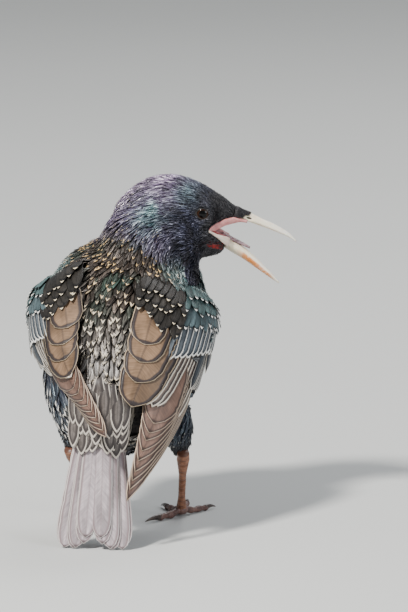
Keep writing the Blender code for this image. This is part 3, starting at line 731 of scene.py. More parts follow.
def flesh(name, deep, light):
    radius = (0.0015, 0.0006, 0.0004)
    wet = dict(Roughness=0.28, Subsurface_Weight=0.25, Subsurface_Radius=radius)
    return mottled(name, 700.0, 4.0, deep, light, (0.2, 0.8), (0.25, 0.0002), **wet)


def bill_material():
    made = Nodes("bill_horn")
    share, low = made.value("along"), made.value("low")
    grain = made.noise(made.place(), 420.0, 4.0)
    fine = made.noise(made.place(), 1500.0, 3.0)
    colour = made.mix(made.ramp(share, 0.0, 0.9), (0.84, 0.74, 0.55), (0.90, 0.86, 0.76))
    warm = made.times(made.ramp(low, 0.05, 0.45), made.ramp(share, 0.15, 0.4))
    warm = made.times(warm, made.ramp(grain, 0.35, 0.6, 0.45, 1.0))
    warm = made.times(warm, made.ramp(share, 0.75, 0.95, 1.0, 0.25))
    colour = made.mix(warm, colour, (0.84, 0.27, 0.04))
    colour = made.mix(made.times(made.ramp(grain, 0.5, 0.75), 0.3), colour, (0.50, 0.38, 0.27))
    base = made.ramp(share, 0.0, 0.12, 1.0, 0.0)
    made.set(
        Base_Color=made.mix(made.times(base, 0.5), colour, (0.30, 0.22, 0.19)),
        Roughness=made.ramp(fine, 0.3, 0.7, 0.28, 0.42),
        Subsurface_Weight=0.15,
        Subsurface_Radius=(0.0015, 0.0008, 0.0004),
    )
    made.bump(fine, 0.12, 0.0002)
    return made.material


def eye_material():
    made = Nodes("eye_wet")
    out = made.value("out")
    rays = made.noise(made.join(made.times(made.value("turn"), 20.0), made.times(out, 2.0), 0.0), 3.0, 3.0)
    iris = made.mix(made.ramp(rays, 0.3, 0.7), (0.012, 0.005, 0.003), (0.042, 0.018, 0.009))
    colour = made.mix(made.ramp(out, 0.36, 0.41), (0.002, 0.002, 0.002), iris)
    colour = made.mix(made.ramp(out, 0.55, 0.62), colour, (0.008, 0.005, 0.004))
    made.set(Base_Color=colour, Roughness=0.05, Specular_IOR_Level=0.2)
    return made.material


def leg_material():
    made = Nodes("leg_scales")
    spots = made.noise(made.place(), 500.0, 4.0)
    # The toes take a darker copy of the shank's colour: painted shade under the bird.
    light = made.mix(made.ramp(spots, 0.3, 0.7), (0.15, 0.055, 0.026), (0.30, 0.135, 0.075))
    dark = made.mix(made.ramp(spots, 0.3, 0.7), (0.085, 0.042, 0.036), (0.20, 0.105, 0.085))
    colour = made.mix(made.value("toe"), light, dark)
    groove = made.ramp(made.math("ABSOLUTE", made.math("SINE", made.value("ring"))), 0.0, 0.35, 1.0, 0.0)
    colour = made.mix(made.times(groove, 0.6), colour, (0.06, 0.025, 0.02))
    made.set(Base_Color=colour, Roughness=made.ramp(spots, 0.3, 0.7, 0.38, 0.55))
    made.bump(made.plus(made.times(groove, -1.0), spots), 0.5, 0.0003)
    return made.material


# The skin


def wing_pad(side, sink, length):
    """The wing's padded root as a closed form, sunk under its feathers."""
    rings = []
    places = np.linspace(0, 1, 13)
    for along in np.linspace(0.0, length, 14):
        face, normal = wing_face(side, np.full(13, along), 0.04 + places * 0.92)
        depth = sink * min(1.0, 0.25 + along / 0.2)
        thick = 2.0 + 5.0 * np.sin(math.pi * places) * (1 - 0.6 * along / length)
        thick = thick + 6.0 * (1 - places) ** 3
        outer = face - normal * depth
        inner = face - normal * (depth + thick[:, None])
        rings.append(np.concatenate([outer, inner[::-1]]))
    return loft("pad", rings)


def rump_rings():
    """Rings of the rounded root of the tail."""
    along = unit(TAIL_TIP - TAIL_BASE)
    out = unit(np.array([0.0, along[2], -along[1]]))
    rings = []
    for t in np.linspace(-9, 20, 9):
        share = (t + 9) / 29
        rings.append(oval(TAIL_BASE + along * t, ACROSS, out, 10.5 - 2.0 * share, 8.5 - 6.6 * share, 24))
    return rings


def fused(parts):
    """One closed skin through all the parts."""
    skin = joined("skin", parts)
    remesh = skin.modifiers.new("remesh", "REMESH")
    remesh.mode = "VOXEL"
    remesh.voxel_size = SKIN_VOXEL
    graph = bpy.context.evaluated_depsgraph_get()
    mesh = bpy.data.meshes.new_from_object(skin.evaluated_get(graph))
    skin.modifiers.clear()
    skin.data = mesh
    keep_largest(skin)
    return skin


def smoothed(mesh, points):
    """The skin's points drawn towards their neighbours, but little round the eyes and the mouth."""
    edges = np.empty(len(mesh.edges) * 2, np.int32)
    mesh.edges.foreach_get("vertices", edges)
    edges = edges.reshape(-1, 2)
    degree = np.bincount(edges.ravel(), minlength=len(points))[:, None]
    head = in_head(points)
    fine = (head[:, 0] > 14) * (np.abs(head[:, 2] + 4) < 8) * near_head(head)
    strength = (0.6 * (1 - 0.85 * fine))[:, None]
    for _ in range(14):
        total = np.zeros_like(points)
        np.add.at(total, edges[:, 0], points[edges[:, 1]])
        np.add.at(total, edges[:, 1], points[edges[:, 0]])
        points += (total / degree - points) * strength
    return points


def make_skin():
    """One skin through head, neck, trunk, thighs and wing roots, sunk by the depth of the coat."""
    parts = []
    for node in ("head", "neck", "torso", "thigh_left", "thigh_right"):
        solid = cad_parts[node].data
        parts.append(mesh_object("part", read_points(solid), [p.vertices for p in solid.polygons]))
    parts += [wing_pad(side, PAD_DEPTH, PAD_LENGTH) for side in WING_EDGES]
    parts.append(loft("rump", rump_rings()))
    turns = np.linspace(0.02, math.pi - 0.02, 14)
    for way in (-1, 1):
        place = head_point(EYE_PLACE[0], way * EYE_PLACE[1], EYE_PLACE[2])
        rings = ball_rings(place, HEAD_LEFT, HEAD_AHEAD, HEAD_UP, SOCKET_RADIUS, turns, 24)
        parts.append(loft("socket", rings))
    skin = fused(parts)
    mesh = skin.data
    points = smoothed(mesh, read_points(mesh))
    write_points(mesh, points)
    normals = np.empty(len(mesh.vertices) * 3)
    mesh.vertex_normals.foreach_get("vector", normals)
    normals = normals.reshape(-1, 3)
    points = shape_orbits(points - normals * coat_depth(points)[:, None])
    write_points(mesh, points)
    mesh.shade_smooth()
    # The skin shows between the feathers in a darkened copy of their tint: painted shade.
    set_values(skin, "tint", "FLOAT_COLOR", painted_shade_skin_tint(points))
    look = dict(reach=(0.35, 0.65), bump=(0.4, 0.0003), Roughness=0.8)
    covered_with(skin, mottled("skin_under_feathers", 900.0, 3.0, (0.006, 0.006, 0.008), "tint", **look))
    return skin, points, normals


def keep_largest(item):
    shaped = bmesh.new()
    shaped.from_mesh(item.data)
    unseen = set(shaped.verts)
    islands = []
    while unseen:
        island, todo = [], [unseen.pop()]
        while todo:
            vertex = todo.pop()
            island.append(vertex)
            for edge in vertex.link_edges:
                other = edge.other_vert(vertex)
                if other in unseen:
                    unseen.discard(other)
                    todo.append(other)
        islands.append(island)
    islands.sort(key=len)
    for island in islands[:-1]:
        bmesh.ops.delete(shaped, geom=island, context="VERTS")
    shaped.to_mesh(item.data)
    shaped.free()


def shape_orbits(points):
    """The skin round each eye: a shallow bowl with an open middle, and a low brow over it."""
    head = in_head(points)
    way = np.sign(head[:, 1])
    ahead, up = head[:, 0] - EYE_PLACE[0], head[:, 2] - EYE_PLACE[2]
    far = np.hypot(ahead, up)
    rim = np.interp(far, [0.0, 2.1, 2.6, 3.2, 6.0], [8.6, 9.2, 11.0, 11.25, 11.3])
    rim = rim + 0.55 * np.exp(-((far - 3.4) ** 2) / 1.2) * limit(up / np.maximum(far, 0.1))
    share = limit((6.5 - far) / 2.5)
    share = share * share * (3 - 2 * share) * (np.abs(head[:, 1]) > 4.5)
    wanted = way * (rim * share + np.abs(head[:, 1]) * (1 - share))
    return points + (wanted - head[:, 1])[:, None] * HEAD_LEFT


def red_share(station, height):
    """How near a place on the head is to the red skin at the base of the lower bill."""
    return np.exp(-((station - 19.5) ** 2) / 18 - (height + 9.6) ** 2 / 2.0)


def painted_shade_skin_tint(points):
    """The plumage's tint darkened to 0.35, as painted shade between the feathers, and red at the base of the
    lower bill.
    """
    head = in_head(points)
    tint = plumage(points)["tint"] * 0.35
    red = red_share(head[:, 0], head[:, 2]) * near_head(head)
    return blend(tint, np.array([0.33, 0.012, 0.010]), limit(red * 2.2))


def head_share(points):
    """How much each place belongs to the head, from 0 to 1."""
    head = in_head(points)
    away = np.linalg.norm(head - [-2.0, 0.0, -2.0], axis=1)
    front = (head[:, 0] > 8) & near_head(head) & (head[:, 2] > -24)
    return np.maximum(limit((30 - away) / 8), front * 1.0)


def coat_depth(points):
    """How deep the skin lies under the feathers' tips, in millimetres."""
    head = in_head(points)
    share = head_share(points)
    front = limit((head[:, 0] - 8) / 14) * near_head(head)
    return (BODY_DEPTH * (1 - share) + HEAD_DEPTH * share) * (1 - front) + FACE_DEPTH * front


# The lie and colours of the coat

# The way that feathers follow, from the bill over the head and back to the tail.
SPINE = np.array(
    [
        head_point(27, 0, -1),
        head_point(14, 0, -1),
        head_point(2, 0, -1),
        head_point(-9, 0, -5),
        (4.5, 12.0, 110.0),
        (1.0, 4.0, 96.0),
        trunk_point(52, 2),
        trunk_point(30, 2),
        trunk_point(6, 3),
        trunk_point(-12, 4),
        (0.0, -50.0, 45.0),
        (-0.5, -58.0, 15.0),
    ]
)


def spine_samples():
    marks = np.linspace(0, len(SPINE) - 1, 120)
    low = np.clip(marks.astype(int), 0, len(SPINE) - 2)
    share = (marks - low)[:, None]
    places = SPINE[low] * (1 - share) + SPINE[low + 1] * share
    for _ in range(12):
        places[1:-1] = (places[:-2] + places[2:] + places[1:-1] * 2) / 4
    return places, unit(np.gradient(places, axis=0))


SPINE_PLACES, SPINE_WAYS = spine_samples()
SPINE_LENGTHS = np.concatenate([[0], np.cumsum(np.linalg.norm(np.diff(SPINE_PLACES, axis=0), axis=1))])


def spine_weights(points, softness):
    """How much each point belongs to each place of the spine."""
    apart = ((points[:, None] - SPINE_PLACES[None]) ** 2).sum(-1)
    return np.exp(-(apart - apart.min(axis=1, keepdims=True)) / (2 * softness**2))


def lie(points, normals):
    """The way that feathers point at each place on the skin."""
    ways = unit((spine_weights(points, 9.0)[..., None] * SPINE_WAYS[None]).sum(1))
    return unit(ways - (ways * normals).sum(1, keepdims=True) * normals)


def spine_place(points):
    """How far along the spine each point is, from 0 to 1, and its turn round it, 0 on top and up to 1."""
    weights = spine_weights(points, 5.0)
    weights /= weights.sum(1, keepdims=True)
    way = unit(weights @ SPINE_WAYS)
    length = weights @ SPINE_LENGTHS / SPINE_LENGTHS[-1]
    share = limit((length - 0.18) / 0.2)[:, None]
    up = np.array([0.0, 0.0, 1.0]) * (1 - share) + np.array([0.0, -0.8, 0.6]) * share
    up = unit(up - (up * way).sum(1, keepdims=True) * way)
    out = points - weights @ SPINE_PLACES
    turn = np.arctan2((out * np.cross(way, up)).sum(1), (out * up).sum(1)) / math.pi
    return length, turn


LILAC = np.array([0.34, 0.22, 0.42])
PURPLE = np.array([0.13, 0.075, 0.20])
TEAL = np.array([0.07, 0.20, 0.22])
NAVY = np.array([0.030, 0.036, 0.085])
INK = np.array([0.020, 0.019, 0.024])
BROWN = np.array([0.046, 0.033, 0.028])
GREEN = np.array([0.030, 0.062, 0.048])
BUFF = np.array([0.92, 0.63, 0.30])
CREAM = np.array([0.92, 0.82, 0.66])
WHITE = np.array([0.86, 0.84, 0.80])
GREY = np.array([0.19, 0.172, 0.165])


def blend(a, b, share):
    return a + (b - a) * limit(share)[:, None]


def body_regions(points):
    """How much each place belongs to each region of the body, from 0 to 1."""
    along, back, side = in_trunk(points).T
    wide = np.abs(side)
    return {
        "upper": limit((along - 52) / 22),
        "shoulder": limit((wide - 17) / 7) * limit((along - 34) / 8) * limit((back + 12) / 8),
        "front": limit((2 - back) / 8),
        "rump": limit((24 - along) / 14) * limit((back - 8) / 6) * limit((19 - wide) / 5),
        "flank": limit((36 - along) / 8) * limit((wide - 14) / 6) * limit((back + 16) / 8),
        "thigh": limit((43 - points[:, 2]) / 7) * (points[:, 1] > -26),
    }


def plumage(points):
    """The looks of the feathers rooted at each place, as arrays by name."""
    count = len(points)
    station, _, height = in_head(points).T
    along = in_trunk(points)[:, 0]
    on_head = head_share(points)
    parts = body_regions(points)
    patches, small = wobble(points, 16, 3), wobble(points, 5, 4)

    def flat(*colour):
        return np.tile(colour, (count, 1))

    # The head: navy and ink, purple hackles behind, a lilac crown and nape, and teal behind the eye. The
    # lilac grows with height on the head: partly its own gloss colour and partly painted highlight.
    tone = blend(flat(*INK), NAVY * 0.8, 0.5 + small * 0.4)
    behind = limit((4 - station) / 9)
    tone = blend(tone, PURPLE * 0.7, behind * (0.6 + patches * 0.5))
    lilac = limit(height / 8) * limit((9 - station) / 10)
    tone = blend(tone, LILAC * 0.8, lilac * (0.7 + small * 0.5 + patches * 0.3))
    teal = np.exp(-((station + 8) ** 2 + (height - 0.5) ** 2) / 40)
    teal = teal + 0.6 * np.exp(-((station - 4) ** 2 + (height - 9) ** 2) / 20)
    tone = blend(tone, TEAL * 0.62, teal * (0.7 + small * 0.6))
    tone = blend(tone, INK, limit((station - 11) / 5))
    # Painted highlight colour for the head's streaks: lilac-white behind, strongest high on the head, pale
    # teal in the teal patches, patchy, and dim at the face.
    high = np.clip((height + 10) / 16, 0.4, 1)
    head_painted_highlight = blend(flat(0.20, 0.20, 0.27), np.array([0.90, 0.78, 0.97]), behind * high)
    head_painted_highlight = blend(head_painted_highlight, np.array([0.66, 0.90, 0.95]), teal)
    head_painted_highlight = head_painted_highlight * (0.55 + 0.75 * np.clip(0.5 + patches + small, 0, 1.4))[:, None]
    head_painted_highlight = blend(head_painted_highlight, np.array([0.12, 0.12, 0.13]), limit((station - 9) / 5))
    # The trunk: brown-black with a green gloss, teal shoulders, navy below and a grey rump. Each region also
    # gets a painted highlight colour for its streaks: greenish on the back, silvery on the shoulders, paler
    # lower down, dim below and on the thighs.
    shoulder, front, rump, flank, thigh = (parts[p] for p in ("shoulder", "front", "rump", "flank", "thigh"))
    lower = limit((42 - along) / 14)
    under = np.maximum(front, flank)
    body = blend(flat(*(BROWN * 0.5)), GREEN * 0.45, 0.05 + patches * 0.5 + small * 0.3)
    body_painted_highlight = blend(flat(0.15, 0.122, 0.102), np.array([0.10, 0.17, 0.14]), 0.05 + patches * 0.6)
    body = blend(body, np.array([0.075, 0.066, 0.061]), lower * 0.6)
    body_painted_highlight = blend(body_painted_highlight, np.array([0.36, 0.33, 0.30]), lower * 0.6)
    body = blend(body, TEAL * 0.55, shoulder * (0.8 + small * 0.3))
    body_painted_highlight = blend(body_painted_highlight, np.array([0.74, 0.88, 0.86]), shoulder * (0.8 + patches * 0.3))
    below = under * (1 - shoulder * 0.8)
    body = blend(body, NAVY * 0.42, below)
    body_painted_highlight = blend(body_painted_highlight, np.array([0.09, 0.12, 0.14]), below)
    body = blend(body, GREY, rump * 0.9)
    body_painted_highlight = blend(body_painted_highlight, np.array([0.50, 0.47, 0.44]), rump)
    body = blend(body, INK * 0.7, thigh)
    body_painted_highlight = blend(body_painted_highlight, np.array([0.05, 0.055, 0.065]), thigh)
    # Tips: fine and gold by the neck, larger and paler lower down, white on the flanks.
    spot = 0.19 + 0.03 * limit((70 - along) / 40) - 0.05 * shoulder
    spot = spot * (random.random(count) < 0.38 + 0.35 * limit((60 - along) / 25) + 0.2 * shoulder)
    spot = spot * (1 - on_head) * (1 - 0.6 * front * (1 - flank)) * (1 - 0.8 * thigh)
    nape = on_head * limit((-7 - station) / 8)
    ear = on_head * np.exp(-((station + 4) ** 2) / 16 - (height + 5.2) ** 2 / 1.0)
    spot = spot + 0.15 * nape * (random.random(count) < 0.5) + 0.14 * (ear > 0.5)
    edge = blend(flat(*BUFF), CREAM, (62 - along) / 26)
    edge = blend(edge, WHITE, np.maximum(under, shoulder))
    edge = blend(edge, CREAM, np.maximum(nape, ear > 0.5))
    gloss = 0.36 + 0.06 * shoulder - 0.42 * rump - 0.2 * thigh
    return {
        "tint": blend(body, tone, on_head),
        "edge": edge,
        # glint: the painted highlight colour of the feathers' streaks.
        "glint": blend(body_painted_highlight, head_painted_highlight, on_head),
        "spot": spot,
        "fringe": 0.12 * rump + 0.04 * flank,
        "gloss": gloss * (1 - on_head) + on_head * (0.42 - 0.15 * limit((station - 10) / 6)),
    }


# The coat

SMALL_THICKNESS = 0.2
SMALL_RIDGE = 0.04
# The forms of the narrow feathers on the head and of the pointed ones elsewhere.
NARROW = dict(stations=5, offsets=[-1, 0, 1], profile=[0.55, 1.0, 0.9, 0.5], camber=0.2)
POINTED = dict(
    stations=7, offsets=[-1, -0.5, 0, 0.5, 1], profile=[0.5, 0.85, 1.0, 0.95, 0.72, 0.4], camber=0.22
)
NEIGHBOURS = list(itertools.product((-1, 0, 1), repeat=3))


def scatter(points, normals, triangles, spacing, keep):
    """Places on the skin about spacing apart, by throwing darts at its triangles."""
    corner = points[triangles]
    areas = np.linalg.norm(np.cross(corner[:, 1] - corner[:, 0], corner[:, 2] - corner[:, 0]), axis=1) / 2
    middle = corner.mean(1)
    gap = spacing(middle)
    wanted = areas / gap**2 * keep(middle)
    pick = random.choice(len(triangles), size=DARTS, p=wanted / wanted.sum())
    a, b = random.random((2, DARTS, 1))
    turned = a + b > 1
    a, b = np.where(turned, 1 - a, a), np.where(turned, 1 - b, b)
    spots = corner[pick, 0] * (1 - a - b) + corner[pick, 1] * a + corner[pick, 2] * b
    corner_normals = normals[triangles[pick]]
    ups = unit(corner_normals[:, 0] * (1 - a - b) + corner_normals[:, 1] * a + corner_normals[:, 2] * b)
    gaps = gap[pick]
    cells = np.floor(spots / float(gaps.max())).astype(int).tolist()
    places = spots.tolist()
    grid, chosen = {}, []
    for i, ((x, y, z), least) in enumerate(zip(cells, [g**2 for g in gaps])):
        near = (k for dx, dy, dz in NEIGHBOURS for k in grid.get((x + dx, y + dy, z + dz), ()))
        if not any(square_apart(places[k], places[i]) < least for k in near):
            grid.setdefault((x, y, z), []).append(i)
            chosen.append(i)
    return spots[chosen], ups[chosen]


def square_apart(a, b):
    x, y, z = a[0] - b[0], a[1] - b[1], a[2] - b[2]
    return x * x + y * y + z * z


def sizes_at(points):
    """Length, width, spacing and lift of the feathers at each place, in millimetres."""
    head = in_head(points)
    station, _, height = head.T
    share = head_share(points)
    upper, shoulder, front, rump, _, thigh = body_regions(points).values()
    eye = np.linalg.norm(np.abs(head) - np.array(EYE_PLACE), axis=1)
    face = np.maximum(limit((station - 2) / 14), limit(1.7 - eye / 6))
    low = limit((-3 - height) / 8) * (1 - face)
    behind = limit((-2 - station) / 12)
    head_length = 4.3 - 2.2 * face + 3.4 * behind + 4.0 * low
    head_width = 1.12 - 0.34 * face + 0.30 * behind + 0.15 * low
    head_lift = 0.85 - 0.35 * face + 0.55 * behind + 0.75 * low
    length = 10.4 - 3.9 * upper - 1.2 * front - 2.4 * shoulder + 2.5 * rump
    width = 3.6 - 1.35 * upper - 1.0 * front - 1.1 * shoulder + 0.9 * rump
    length = length * (1 - 0.42 * thigh)
    width = width * (1 - 0.35 * thigh)
    lift = 1.5 - 0.45 * upper - 0.5 * thigh + 0.3 * rump
    length = length * (1 - share) + head_length * share
    width = width * (1 - share) + head_width * share
    lift = lift * (1 - share) + head_lift * share
    return length, width, width * (0.52 + 0.14 * share), lift


def covered(tree, points, normals, reach):
    """Which points lie under something of this tree within reach."""
    found = np.zeros(len(points), bool)
    for i, (point, normal) in enumerate(zip(points, normals)):
        found[i] = tree.ray_cast(Vector(point + normal * 0.2), Vector(normal), reach)[0] is not None
    return found


def coat_paths(spots, ups, length, lift, tree, cover, stations):
    """Each feather's middle line. It follows the skin, rises to its tip, and passes over a large feather."""
    count = len(spots)
    ways = lie(spots, ups)
    ways = unit(ways + np.cross(ups, ways) * random.normal(0, 0.13, count)[:, None])
    paths = np.empty((count, stations, 3))
    normals = np.empty((count, stations, 3))
    rise = np.linspace(0, 1, stations)
    over = (in_trunk(spots)[:, 0] > 24) & (cover is not None)
    loose = np.abs(random.normal(0, 0.16, count)) + 0.25 * (random.random(count) > 0.95)
    for i in range(count):
        place, up, way = spots[i], ups[i], ways[i]
        step = length[i] / (stations - 1)
        heights = -0.35 + (lift[i] + 0.35) * rise**0.85 + loose[i] * rise**2
        least = np.full(stations, -1.0)
        for k in range(stations):
            paths[i, k] = place
            normals[i, k] = up
            hit = cover.ray_cast(Vector(place + up * 8), Vector(-up), 8.6) if over[i] else (None,)
            if hit[0] is not None and hit[3] > 4.6:
                least[k] = 8 - hit[3] + 0.2 + 0.3 * rise[k]
            if k == stations - 1:
                break
            ahead = place + way * step
            found = tree.find_nearest(Vector(ahead), 6.0)
            if found[0] is None:
                place = ahead
                continue
            place = np.array(found[0])
            up = unit(up * 0.45 + np.array(found[1]) * 0.55)
            way = unit(way - (way @ up) * up)
        heights = np.maximum(heights, least)
        heights[1:-1] = np.maximum(heights[1:-1], (heights[:-2] + heights[2:]) / 2)
        paths[i] += normals[i] * heights[:, None]
    paths[:, 1:-1] = (paths[:, :-2] + paths[:, 2:] + paths[:, 1:-1] * 2) / 4
    return paths, normals


def coat_pieces(name, spots, ups, tree, cover, form, material):
    """The feathers rooted at spots, as pieces of the coat that each hold a limited number of them."""
    length, width, _, lift = sizes_at(spots)
    length = length * random.uniform(0.85, 1.15, len(spots))
    width = width * random.uniform(0.85, 1.15, len(spots))
    paths, normals = coat_paths(spots, ups, length, lift, tree, cover, form["stations"])
    looks = plumage(spots)
    place, turn = spine_place(spots)
    each = 2 * len(form["offsets"]) * form["stations"] * 2
    pieces = math.ceil(len(spots) * each / PIECE_TRIANGLES)
    profile = np.asarray(form["profile"])[None, :]
    items = []
    for part, chosen in enumerate(np.array_split(np.argsort(place), pieces)):
        count = len(chosen)
        shape = profile * random.uniform(0.86, 1.14, (count, profile.shape[1]))
        half, offsets = width[chosen] / 2, form["offsets"]
        points, quads, fans, across, along, size = vane_mesh(
            paths[chosen], normals[chosen], half, shape, offsets, SMALL_THICKNESS, SMALL_RIDGE, form["camber"]
        )
        item = fast_mesh(f"{name}_{part}", points, quads, fans)
        tint = looks["tint"][chosen] * np.exp(random.normal(0, 0.24, (count, 1)))
        edge = looks["edge"][chosen] * random.uniform(0.85, 1.05, (count, 1))
        # Each feather's painted highlight colour, varied at random.
        glint = looks["glint"][chosen] * np.exp(random.normal(0, 0.45, (count, 1)))
        spot = looks["spot"][chosen] * random.uniform(0.7, 1.25, count) * (random.random(count) < 0.85)
        lot = np.repeat(random.random(count), size)
        marks = np.stack([spot, looks["fringe"][chosen], looks["gloss"][chosen]], axis=1)
        tint, edge, glint, marks = (np.repeat(values, size, axis=0) for values in (tint, edge, glint, marks))
        set_looks(item, tint, edge, glint, np.stack([across, along, lot], axis=1), marks)
        map_small_feathers(item, across, along, place[chosen], turn[chosen], size)
        items.append(covered_with(item, material))
    return items


# The edges of the bare skin at the mouth: heights by station, over and under the opening.
UPPER_LIP = ([14.8, 16.4, 20.5, 23.7, 27.6], [-2.6, -0.6, 2.0, 3.2, 3.0])
LOWER_LIP = ([14.8, 18.5, 22.6, 26.0], [-4.2, -6.0, -8.6, -10.9])


def bare_share(places):
    """Where the head carries no feathers: the eyes, the mouth and the bill."""
    head = in_head(places)
    station, side, height = head.T
    eye = np.hypot(station - EYE_PLACE[0], height - EYE_PLACE[2])
    at_eye = (eye < LID_RADIUS + 0.3) & (np.abs(side) > 3.0) & (station > 0)
    at_mouth = (height < np.interp(station, *UPPER_LIP)) & (height > np.interp(station, *LOWER_LIP))
    at_mouth = at_mouth & (station > 14.8)
    at_bill = (station > 26.2) | ((station > 22.2) & (height < -5.0))
    red = (red_share(station, height) > 0.45) & (np.abs(side) > 2.0)
    return near_head(head) & (at_eye | at_mouth | at_bill | red)


def make_coat(skin, points, normals, big_tree):
    """The small feathers of head, back and front, and those over the base of the bill."""
    mesh = skin.data
    mesh.calc_loop_triangles()
    triangles = np.empty(len(mesh.loop_triangles) * 3, np.int32)
    mesh.loop_triangles.foreach_get("vertices", triangles)
    triangles = triangles.reshape(-1, 3)
    tree = BVHTree.FromPolygons([Vector(p) for p in points], triangles.tolist())

    def keep(places):
        return 1.0 - bare_share(places) + 1e-9

    def spacing(places):
        return sizes_at(places)[2]

    spots, ups = scatter(points, normals, triangles, spacing, keep)
    hidden = covered(big_tree, spots, ups, 14.0)
    spots, ups = spots[~hidden], ups[~hidden]
    on_head = head_share(spots) > 0.5
    under = body_regions(spots)["front"] > 0.5
    back, front = ~on_head & ~under, ~on_head & under
    hackle = feather_nodes("head_feather", 0.34, 1.8)
    contour = feather_nodes("body_feather", 0.38, 2.6)
    pieces = coat_pieces("head_coat", spots[on_head], ups[on_head], tree, None, NARROW, hackle)
    pieces += coat_pieces("back_coat", spots[back], ups[back], tree, big_tree, POINTED, contour)
    pieces += coat_pieces("breast_coat", spots[front], ups[front], tree, big_tree, POINTED, contour)
    pieces.append(nasal_feathers(hackle))
    return pieces


def nasal_feathers(material):
    """Short dark feathers that point forwards over the base of the upper bill."""
    rows = smooth_rows(BILL_TOP_SECTIONS, 60)
    count, stations = 760, 5
    start = random.uniform(23.6, 30.2, count)
    turn = random.uniform(-1.75, 1.75, count)
    away = np.stack([np.sin(turn), np.cos(turn)], axis=1)
    paths = np.empty((count, stations, 3))
    normals = np.empty((count, stations, 3))
    for k in range(stations):
        share = k / (stations - 1)
        station = start + share * 2.1
        top, bottom, half = (np.interp(station, rows[:, 0], rows[:, c]) for c in (1, 2, 3))
        rise = 0.05 + 0.28 * share + 0.35 * np.clip(26.6 - station, 0, 2)
        height = (top + bottom) / 2 + away[:, 1] * ((top - bottom) / 2 + rise)
        left = away[:, 0] * (half + rise)
        paths[:, k] = head_point(station[:, None], left[:, None], height[:, None])
        normals[:, k] = away[:, :1] * HEAD_LEFT + away[:, 1:] * HEAD_UP
    tip = in_head(paths[:, -1])
    nostril = np.hypot(tip[:, 0] - NOSTRIL_PLACE[0], (tip[:, 2] - NOSTRIL_PLACE[1]) * 1.6) < 1.7
    kept = (tip[:, 0] < 27.0 + (tip[:, 2] - 2.0) * 1.05) & ~nostril
    paths, normals = paths[kept], normals[kept]
    count = len(paths)
    points, quads, fans, across, along, size = vane_mesh(
        paths, normals, np.full(count, 0.36), [0.6, 1.0, 0.8, 0.4], [-1, 0, 1], 0.16, 0.03, 0.2
    )
    item = fast_mesh("nasal_coat", points, quads, fans)
    tint = np.repeat(np.array([0.018, 0.016, 0.019]) * random.uniform(0.6, 1.6, (count, 1)), size, axis=0)
    form = np.stack([across, along, np.repeat(random.random(count), size)], axis=1)
    # The glint colour, 2.5 times the tint, is a painted highlight in the lightest streaks.
    set_looks(item, tint, tint, tint * 2.5, form, np.tile([0.0, 0.0, 0.3], (len(points), 1)))
    place, turn = spine_place(paths[:, 0])
    map_small_feathers(item, across, along, place, turn, size)
    return covered_with(item, material)


# Wing and tail feathers

# The share of its full width that a feather has at shares of its length.
ROUND_OUTLINE = [(0.0, 0.45), (0.3, 1.0), (0.75, 1.0), (0.92, 0.72), (1.0, 0.22)]
SHARP_OUTLINE = [(0.0, 0.45), (0.3, 0.85), (0.75, 1.0), (0.92, 0.62), (1.0, 0.15)]
SHORT_OUTLINE = [(0.0, 0.5), (0.45, 1.0), (0.85, 0.85), (1.0, 0.25)]
TAIL_OUTLINE = [(0.0, 0.5), (0.3, 0.9), (0.8, 1.0), (0.94, 0.86), (1.0, 0.5)]
POINTED_OUTLINE = [(0.0, 0.5), (0.4, 1.0), (0.68, 0.92), (0.85, 0.62), (1.0, 0.12)]
OUTLINES = {
    "primary": SHARP_OUTLINE,
    "secondary": ROUND_OUTLINE,
    "tertial": ROUND_OUTLINE,
    "greater_covert": SHORT_OUTLINE,
    "primary_covert": SHORT_OUTLINE,
    "alula": SHORT_OUTLINE,
    "rectrix": TAIL_OUTLINE,
}
BIG_OFFSETS = [-1, -0.82, -0.55, -0.25, 0, 0.25, 0.55, 0.82, 1]
BIG_THICKNESS = 0.30
BIG_RIDGE = 0.12
BIG_CAMBER = 0.07
BIG_STATIONS = 26
BIG_MARKS = np.linspace(0, 1, BIG_STATIONS)


def outline_profile(outline):
    """The share of full width at each station of a big feather, with a rounded tip."""
    marks = BIG_MARKS[:-1]
    rows = np.array(outline)
    share = np.interp(marks, rows[:, 0], rows[:, 1])
    smooth = share.copy()
    smooth[1:-1] = (share[:-2] + share[1:-1] * 2 + share[2:]) / 4
    return smooth * np.where(marks > 0.9, np.sqrt(limit((1 - marks) / 0.1)) * 0.5 + 0.5, 1.0)


def lerp_pair(pair, share):
    first, last = np.array(pair[0], float), np.array(pair[1], float)
    return first + (last - first) * share


